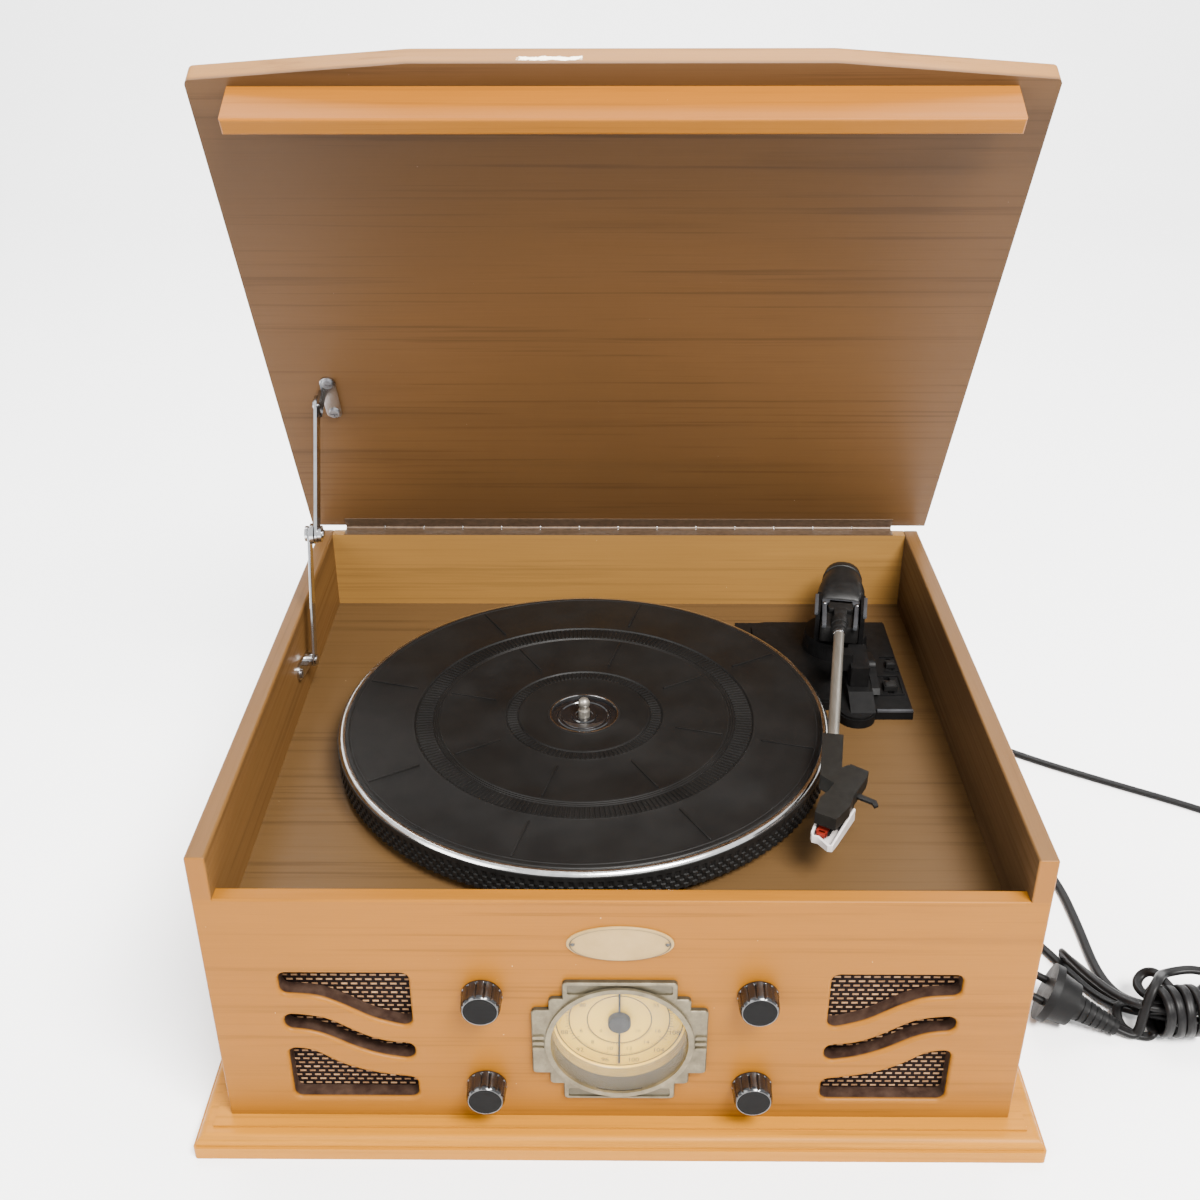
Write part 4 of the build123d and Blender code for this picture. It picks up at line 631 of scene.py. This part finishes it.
# ------------------------------------------------------------------ knobs
def knob(name, node, shaft_body):
    lo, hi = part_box(node)
    cx, cz = (lo[0] + hi[0]) / 2 / mm, (lo[2] + hi[2]) / 2 / mm
    bm = bmesh.new()
    n, per = 14, 14
    N = n * per
    prof = [(10.2, 0.6, 0), (11.0, 0.7, 0), (11.0, 1.7, 0), (10.85, 2.0, 1), (10.65, 6.0, 1), (10.45, 10.2, 1), (10.2, 11.0, 0.5), (9.75, 11.9, 0.15), (9.35, 12.35, 0), (8.9, 12.45, 0), (8.75, 12.3, 0)]
    rings = []
    for r, d, g in prof:
        ring = []
        for i in range(N):
            ph = (i % per) / per
            cut = 0.75 * g * (1.0 if ph < 0.001 else max(0.0, 1 - min(ph, 1 - ph) / 0.16)) ** 1.0
            a = 2 * pi * i / N
            rr = r - cut
            ring.append(bm.verts.new((cx + rr * math.cos(a), FY - d, cz + rr * math.sin(a))))
        rings.append(ring)
    for a, b in zip(rings[:-1], rings[1:]):
        for i in range(N):
            j = (i + 1) % N
            bm.faces.new((a[i], a[j], b[j], b[i]))
    bm.faces.new(rings[0])
    bm.faces.new(rings[-1])
    side = obj_from(bm, name + "_body", GLOSS, shaft_body, 30)
    lathe(name + "_cap", [(0, 12.45), (4, 12.5), (8.6, 12.5), (8.75, 12.38), (8.75, 12.2)], (cx, FY, cz), KNOB_FACE, shaft_body, axis="y", seg=64)
    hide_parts(node)


for nm, node, body in (("volume", "volume_knob", "volume"), ("tone", "tone_knob", "tone"), ("tuning", "tuning_knob", "tuning"), ("band", "band_knob", "band")):
    knob("knob_" + nm, node, body)


# ------------------------------------------------------------------ dial print
def text_into(bm, string, size, m):
    cu = bpy.data.curves.new("t", "FONT")
    cu.body = string
    cu.size = size
    cu.align_x, cu.align_y = "CENTER", "CENTER"
    o = bpy.data.objects.new("t", cu)
    bpy.context.collection.objects.link(o)
    bpy.context.view_layer.update()
    me = bpy.data.meshes.new_from_object(o)
    bpy.data.objects.remove(o)
    me.transform(m)
    bm.from_mesh(me)
    bpy.data.meshes.remove(me)


def ring_into(bm, r0, r1, c, y, seg=120, a0=0, a1=360, sx=1.0, sz=1.0):
    full = abs(a1 - a0) >= 360
    n = seg
    vs = []
    for i in range(n + (0 if full else 1)):
        a = math.radians(a0 + (a1 - a0) * i / n)
        vs.append((bm.verts.new((c[0] + r0 * sx * math.cos(a), y, c[1] + r0 * sz * math.sin(a))), bm.verts.new((c[0] + r1 * sx * math.cos(a), y, c[1] + r1 * sz * math.sin(a)))))
    for i in range(n if full else n):
        p, q = vs[i], vs[(i + 1) % len(vs)]
        bm.faces.new((p[0], q[0], q[1], p[1]))


def tick_into(bm, a, r0, r1, w, c, y):
    ca, sa = math.cos(a), math.sin(a)
    pts = [(r0, -w / 2), (r1, -w / 2), (r1, w / 2), (r0, w / 2)]
    vs = [bm.verts.new((c[0] + x * ca - t * sa, y, c[1] + x * sa + t * ca)) for x, t in pts]
    bm.faces.new(vs)


YF = FY + 13.5 - 0.06
bm = bmesh.new()
for r in (17.4, 27.2, 34.6):
    ring_into(bm, r - 0.3, r + 0.3, (0, DZ), YF)
for k in range(0, 61):
    a = math.radians(210) - math.radians(240) * k / 60
    tick_into(bm, a, 27.2, 28.8 if k % 5 else 29.8, 0.42, (0, DZ), YF)
for k in range(0, 41):
    a = math.radians(-30) - math.radians(120) * k / 40
    tick_into(bm, a, 25.8 if k % 5 else 24.9, 27.2, 0.4, (0, DZ), YF)
for k in range(0, 31):
    a = math.radians(-20) - math.radians(140) * k / 30
    tick_into(bm, a, 17.4, 18.8, 0.4, (0, DZ), YF)


def numbers(vals, r, a0, a1, size):
    for i, v in enumerate(vals):
        a = math.radians(a0 + (a1 - a0) * i / (len(vals) - 1))
        up = Vector((0, 0, 1))
        m = basis((r * math.cos(a), YF, DZ + r * math.sin(a)), (1, 0, 0), (0, 0, 1), (0, -1, 0))
        text_into(bm, v, size, m)


numbers(["108", "104", "100", "96", "92", "88"], 31.4, -18, -162, 4.3)
numbers(["16", "14", "12", "10", "8", "6"], 22.4, -22, -158, 3.8)
numbers(["1", "2", "3", "4", "5"], 31.2, 22, 158, 4.0)
numbers(["55", "65", "80"], 22.4, 28, 152, 3.6)
numbers(["10", "5", "0"], 13.0, -40, -140, 3.2)
obj_from(bm, "dial_print", PRINT_TAN, "cabinet", 0)

# badge: a fine line near its rim and two small pins
BYF = FY - 1.2
lo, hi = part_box("name_badge")
by = lo[1] / mm - 0.05
bm = bmesh.new()
ring_into(bm, 0.925, 0.945, (0, 141.8), by + 0.02, 96, sx=27.5, sz=11.3)
obj_from(bm, "badge_line", PRINT_TAN, "cabinet", 0)
for k, sx in enumerate((-1, 1)):
    lathe("badge_pin_%d" % k, [(0, 0.75), (0.6, 0.68), (1.05, 0.4), (1.25, 0.0), (1.25, -0.3)], (sx * 24.2, by + 0.3, 142.0), PRINT, "cabinet", axis="y", seg=20)

# ------------------------------------------------------------------ platter, mat and spindle seat
def platter_side():
    bm = bmesh.new()
    N = 1080
    zs = [145.5, 146.0, 146.4, 148.9, 149.2, 149.5, 151.9, 152.2, 152.5, 154.9, 155.2, 155.5, 158.3, 158.9, 160.6, 161.7]
    rows = []
    for z in zs:
        ring = []
        for i in range(N):
            r = 148.0
            band = None
            for k, (a, b) in enumerate(((146.4, 148.9), (149.5, 151.9), (152.5, 154.9), (155.5, 158.3))):
                if a - 0.01 <= z <= b + 0.01:
                    band = k
            if band is not None:
                ph = (i + (3 if band % 2 else 0)) % 6
                r = 149.0 if ph < 3 else 148.1
            if z >= 158.8:
                r = 148.9
            if z < 146:
                r = 147.4
            a = 2 * pi * i / N
            ring.append(bm.verts.new((PX + r * math.cos(a), PY + r * math.sin(a), z)))
        rows.append(ring)
    for a, b in zip(rows[:-1], rows[1:]):
        for i in range(N):
            j = (i + 1) % N
            bm.faces.new((a[i], a[j], b[j], b[i]))
    lathe_into(bm, [(148.9, 161.7), (148.2, 161.9), (147.6, 161.9)], (PX, PY, 0), seg=240)
    lathe_into(bm, [(147.4, 145.5), (60.0, 145.5), (59.0, 158.0), (50.6, 158.0), (50.6, 148.0), (49.8, 147.4), (20.0, 147.4), (8.0, 147.4)], (PX, PY, 0), seg=120)
    return obj_from(bm, "platter_body", BLACK, "turntable", 28)


side = platter_side()
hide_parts("platter")
lathe("platter_band", [(147.6, 161.8), (148.45, 161.9), (148.5, 162.15), (148.0, 162.9), (147.3, 163.55), (146.6, 163.85), (145.6, 163.9), (144.4, 163.7)], (PX, PY, 0), SILVER, "turntable", seg=300, smooth=25)
mat_prof = [(144.4, 163.2), (144.4, 164.2), (144.0, 164.5), (143.2, 164.62), (142.2, 164.6), (141.8, 164.35), (141.2, 164.35), (140.8, 164.55),
            (104.0, 164.55), (103.5, 164.75), (103.0, 164.7), (102.4, 163.7), (91.4, 163.7), (91.1, 164.25), (90.6, 164.25), (90.35, 163.95), (89.9, 163.95), (89.65, 164.35), (89.2, 164.35),
            (88.95, 164.05), (88.5, 164.05), (88.2, 164.55), (87.5, 164.65), (87.0, 164.5), (49.0, 164.5), (48.5, 164.72), (48.0, 164.65), (47.4, 163.8), (40.2, 163.8), (39.9, 164.4), (39.3, 164.55), (38.7, 164.4),
            (23.2, 164.45), (22.7, 164.6), (22.2, 164.5)]
bm = bmesh.new()
lathe_into(bm, mat_prof, (PX, PY, 0), seg=288)
for r0, r1, n, z0, z1 in ((92.0, 101.9, 220, 163.7, 164.45), (40.8, 47.0, 104, 163.8, 164.5)):
    for k in range(n):
        a = 2 * pi * k / n
        ca, sa = math.cos(a), math.sin(a)
        w0, w1 = pi * r0 / n * 0.52, pi * r1 / n * 0.52
        q = [(r0, -w0), (r1, -w1), (r1, w1), (r0, w0)]
        f = lambda r, t, z: bm.verts.new((PX + r * ca - t * sa, PY + r * sa + t * ca, z))
        lo4 = [f(r, t, z0 - 0.02) for r, t in q]
        hi4 = [f(r + (0.3 if i in (0, 3) else -0.3), t * 0.62, z1) for i, (r, t) in enumerate(q)]
        bm.faces.new(hi4)
        for i in range(4):
            j = (i + 1) % 4
            bm.faces.new((lo4[i], lo4[j], hi4[j], hi4[i]))
for k in range(8):
    a = math.radians(30 + 45 * k)
    for r0, r1 in ((109, 140), (57, 86)):
        m = Matrix.Translation((PX, PY, 0)) @ Matrix.Rotation(a, 4, "Z")
        prism_into(bm, rect(r0, r1, -0.6, 0.6), m, 0.95, 164.3, 0.25, 2)
mat = obj_from(bm, "mat_rings", RUBBER, "turntable", 24)
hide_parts("platter_mat")
lathe("mat_centre_ring", [(22.3, 164.2), (22.1, 164.62), (21.3, 164.85), (20.4, 164.75), (20.0, 164.2), (19.8, 162.9)], (PX, PY, 0), BLACK, "turntable", seg=120, smooth=30)
lathe("mat_centre_glint", [(20.9, 164.8), (20.55, 164.92), (20.2, 164.82), (20.05, 164.5)], (PX, PY, 0), CHROME, "turntable", seg=120, smooth=30)
lathe("centre_disc", [(19.9, 163.0), (16.5, 162.8), (15.9, 163.25), (15.0, 163.25), (14.4, 162.7), (7.8, 162.7), (7.4, 163.4), (5.6, 163.6), (5.2, 163.2), (3.7, 163.0)], (PX, PY, 0), GLOSS, "turntable", seg=96, smooth=28)
bm = bmesh.new()
out = []
for i in range(25):
    a = math.radians(-160 + 140 * i / 24)
    out.append((PX + 13.6 * math.cos(a), PY + 13.6 * math.sin(a)))
for i in range(25):
    a = math.radians(-20 - 140 * i / 24)
    k = 1 - (abs(i - 12) / 12.0) ** 2
    out.append((PX + (13.6 - 4.4 * k - 0.05) * math.cos(a), PY + (13.6 - 4.4 * k - 0.05) * math.sin(a)))
prism_into(bm, out, XY, 0.35, 162.6, 0.0)
obj_from(bm, "centre_window", STEEL, "turntable", 25)

# ------------------------------------------------------------------ tonearm housing, gimbal frame and plate details
def housing():
    secs = [(-53.4, 6.5, 179.5, 5), (-52.8, 9.5, 182.6, 8), (-51.4, 11.4, 185.0, 10), (-49.0, 12.6, 186.9, 11.5), (-45.0, 13.2, 187.9, 12.5), (-41.6, 13.3, 188.2, 12.8), (-41.2, 13.8, 188.8, 13), (-40.2, 13.8, 188.8, 13), (-39.8, 13.4, 188.3, 13),
            (-34, 13.9, 188.3, 12.6), (-28, 15.0, 188.2, 12), (-22, 15.8, 187.8, 11), (-14, 15.8, 186.6, 10), (-8, 15.6, 184.6, 8), (-4.2, 15.2, 182.6, 6), (-3.4, 14.6, 181.2, 5)]
    bm = bmesh.new()
    m = arm_m()
    rings = []
    for s_, w, top, r in secs:
        pts = []
        for q in range(13):
            a = pi * q / 12
            x = r * math.cos(a)
            t = (w - r) * (1 if x > 0 else -1) * min(1, abs(math.cos(a)) * 3) + x
            pts.append((t, top - r + r * math.sin(a)))
        base = 166.2 if s_ > -52 else 168.5
        pts += [(-w, base + 1.0), (-w + 1.0, base), (w - 1.0, base), (w, base + 1.0)]
        rings.append([bm.verts.new(m @ Vector((s_, t, z))) for t, z in pts])
    for a, b in zip(rings[:-1], rings[1:]):
        for i in range(len(a)):
            j = (i + 1) % len(a)
            bm.faces.new((a[i], a[j], b[j], b[i]))
    bm.faces.new(rings[0])
    bm.faces.new(rings[-1])
    prism_into(bm, rrect(33.0, 25.0, 2.0, 4, 12.0, 0), arm_m(), 11.6, 166.2, 0.7)
    prism_into(bm, rrect(12.0, 16.5, 1.5, 4, 4.0, 0), arm_m(), 4.0, 177.6, 0.6)
    prism_into(bm, rrect(10.0, 8.6, 1.2, 4, 13.5, 0), arm_m(), 4.6, 177.6, 0.6)
    return obj_from(bm, "arm_housing", BLACK, "arm", 38)


h = housing()
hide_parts("tonearm_counterweight")
bm = bmesh.new()
prism_into(bm, rrect(4.4, 25.2, 0.6, 3, -0.6, 0), arm_m(), 3.0, 178.6, 0.45)
for t in (-1, 1):
    prism_into(bm, [(-1.0, t * 9.4), (32.0, t * 8.6), (32.0, t * 11.4), (-1.0, t * 12.6)], arm_m(), 3.0, 178.4, 0.45)
obj_from(bm, "gimbal_frame", GREY_LIGHT, "arm", 35)
bm = bmesh.new()
for t in (-1, 1):
    prism_into(bm, [(-2.0, t * 15.0), (23.5, t * 14.6), (23.5, t * 17.0), (-2.0, t * 17.4)], arm_m(), 2.4, 182.9, 0.4)
obj_from(bm, "yoke_strips", GREY_LIGHT, "arm_swivel", 35)
tm = basis(Vector((ARMX, ARMY, 178.0)) + AX * 19.0, AY, Vector((0, 0, 1)), AX)
bm = bmesh.new()
for r, a, b in ((5.6, 0, 8.5), (5.0, 8.5, 14.5), (4.4, 14.5, 18.0)):
    prism_into(bm, circ(r, 40), tm, b - a, a, 0.35)
obj_from(bm, "tube_socket", BLACK, "arm", 38)
bm = bmesh.new()
prism_into(bm, circ(3.85, 40), tm, 1.6, 18.0, 0.3)
obj_from(bm, "tube_collar", CHROME, "arm", 38)
# two small screws through the gimbal
for k, (s_, t) in enumerate(((3.0, 10.8), (3.0, -10.8))):
    p = Vector((ARMX, ARMY, 0)) + AX * s_ + AY * t
    lathe("gimbal_screw_%d" % k, [(0, 182.0), (1.0, 181.95), (1.4, 181.6), (1.4, 181.2)], (p.x, p.y, 0), STEEL, "arm", seg=18)

bm = bmesh.new()
prism_into(bm, rect(164.2, 187.3, 22.9, 24.9), XY, 2.0, 145.4, 0.4)
obj_from(bm, "plate_edge_strip", GREY_LIGHT, "cabinet", 35)
bm = bmesh.new()
for x0, x1, y0, y1, z in ((169.5, 184.5, 40.2, 41.4, 147.5), (169.5, 184.5, 62.6, 63.8, 147.5), (168.9, 170.1, 40.2, 63.8, 147.5), (183.9, 185.1, 40.2, 63.8, 147.5), (176.0, 186.0, 86.6, 87.6, 147.5), (176.0, 186.0, 68.4, 69.4, 147.5)):
    prism_into(bm, rect(x0, x1, y0, y1), XY, 0.9, z - 0.1, 0.25)
obj_from(bm, "plate_frames", BLACK_SOFT, "cabinet", 35)
bm = bmesh.new()
prism_into(bm, rrect(7.5, 6.5, 1.0, 4, 176.5, 48.5), XY, 4.0, 147.9, 0.8)
obj_from(bm, "speed_tab", BLACK, "speed", 38)
bm = bmesh.new()
prism_into(bm, rrect(6.0, 5.0, 1.0, 4, 181.3, 75.5), XY, 3.4, 147.9, 0.8)
obj_from(bm, "auto_stop_tab", BLACK, "auto_stop", 38)

# ------------------------------------------------------------------ stylus guard and head
HM = basis((120.6, -107.5, 0), (0.5, 0.8660254, 0), (-0.8660254, 0.5, 0), (0, 0, 1))
outer = [(-4, 8.3), (-14.4, 8.4), (-27.0, 6.6), (-31.0, 6.2), (-33.4, 4.6), (-33.0, 1.4), (-34.6, -2.0), (-36.4, -5.6), (-35.4, -8.0), (-28.6, -8.4), (-4, -8.3)]
inner = [(-3.5, 6.6), (-14.4, 6.7), (-26.0, 5.1), (-30.2, 3.6), (-31.0, 0.6), (-32.6, -3.0), (-33.6, -6.2), (-27.6, -6.8), (-3.5, -6.7)]
bm = bmesh.new()
top, bot = 173.6, 165.8
no, ni = len(outer), len(inner)


hgt = {i: top - (0 if outer[i][0] > -20 else (abs(outer[i][0]) - 20) * 0.22) for i in range(no)}
mid = len(outer) // 2
w = 1.5
path2 = [Vector(p) for p in outer]
rows = []
for i, p in enumerate(path2):
    a_ = path2[max(i - 1, 0)]
    b_ = path2[min(i + 1, no - 1)]
    d = (b_ - a_).normalized()
    nrm = Vector((-d.y, d.x))
    q = p + nrm * w
    c = Vector((-18, 0))
    if (q - c).length > (p - c).length:
        q = p - nrm * w
    z = hgt[i]
    sec = [(p, bot), (p, z - 0.5), (p + (q - p) * 0.2, z - 0.12), (p + (q - p) * 0.5, z), (p + (q - p) * 0.8, z - 0.12), (q, z - 0.5), (q, bot)]
    rows.append([bm.verts.new(HM @ Vector((v.x + 3.5, v.y, zz))) for v, zz in sec])
for a_, b_ in zip(rows[:-1], rows[1:]):
    for i in range(len(a_)):
        j = (i + 1) % len(a_)
        bm.faces.new((a_[i], a_[j], b_[j], b_[i]))
bm.faces.new(rows[0])
bm.faces.new(rows[-1])
prism_into(bm, [(-4, 7.6), (-27, 5.8), (-31.5, 3.8), (-32.2, 0.6), (-34.2, -4), (-34.8, -7.2), (-28, -7.7), (-4, -7.6)], HM @ Matrix.Translation((3.5, 0, 0)), 0.9, 165.8, 0.2)
g = obj_from(bm, "guard_shell", WHITE_P, "guard", 38)
bsub = g.modifiers.new("soft", "BEVEL")
bsub.width, bsub.segments, bsub.limit_method, bsub.angle_limit = 0.0003, 2, "ANGLE", math.radians(40)
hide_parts("stylus_guard")
bm = bmesh.new()
prism_into(bm, rrect(9.0, 7.0, 1.0, 4, -20.0, 0.4), HM, 2.6, 168.6, 0.5)
obj_from(bm, "stylus_holder", BLACK, "arm", 38)
bm = bmesh.new()
prism_into(bm, rrect(4.2, 4.6, 0.8, 4, -26.4, 0.8), HM, 2.8, 168.9, 0.6)
obj_from(bm, "stylus_tip_block", RED_P, "arm", 38)

# ------------------------------------------------------------------ back panel screws
for k, (x, z) in enumerate(((-198, 24), (198, 24), (-198, 186), (-66, 186), (66, 186), (198, 186))):
    lathe("back_screw_%d" % k, [(0, -1.3), (1.6, -1.15), (2.8, -0.7), (3.2, -0.05), (3.2, 0.2)], (x, BY, z), STEEL, "cabinet", axis="y", seg=24)

# ------------------------------------------------------------------ floor, light
fl = Mat("pale_floor")
fl.link(fl.ramp(fl.noise(fl.coords(), 3, 3), [(0.3, lin(250, 250, 250)), (0.7, lin(253, 253, 253))]), fl.b.inputs["Base Color"])
fl.set(Roughness=0.8)
bm = bmesh.new()
S = 4000
N = 24
prof = [(-S, 0)] + [(1800 + 900 * math.sin(pi / 2 * i / N), 900 - 900 * math.cos(pi / 2 * i / N)) for i in range(N + 1)] + [(2700, 5000)]
rows = [[bm.verts.new((x, y, z - 0.05)) for x in (-S, S)] for y, z in prof]
for a, b in zip(rows[:-1], rows[1:]):
    bm.faces.new((a[0], a[1], b[1], b[0]))
me = bpy.data.meshes.new("floor")
bmesh.ops.scale(bm, vec=(mm, mm, mm), verts=bm.verts)
bm.to_mesh(me)
bm.free()
floor = bpy.data.objects.new("floor", me)
bpy.context.collection.objects.link(floor)
me.materials.append(fl.m)
for p in me.polygons:
    p.use_smooth = True

w = bpy.data.worlds.new("studio")
bpy.context.scene.world = w
w.use_nodes = True
w.node_tree.nodes["Background"].inputs[0].default_value = (0.96, 0.98, 1.0, 1)
w.node_tree.nodes["Background"].inputs[1].default_value = 1.6


def area(name, loc, target, size, power, color=(1, 1, 1)):
    l = bpy.data.lights.new(name, "AREA")
    l.shape = "RECTANGLE"
    l.size, l.size_y = size
    l.energy = power
    l.color = color
    o = bpy.data.objects.new(name, l)
    bpy.context.collection.objects.link(o)
    d = Vector(target) - Vector(loc)
    o.matrix_world = Matrix.Translation(Vector(loc)) @ d.to_track_quat("-Z", "Y").to_matrix().to_4x4()


area("key", (0.75, -1.25, 2.1), (0, -0.1, 0.15), (1.1, 0.8), 270, (1, 0.985, 0.96))
area("fill", (-1.6, -1.2, 1.3), (0, 0, 0.15), (1.2, 1.2), 40, (1, 0.99, 0.97))
area("back", (0.0, 1.4, 2.4), (0, 0.6, 0.0), (2.2, 1.2), 110)
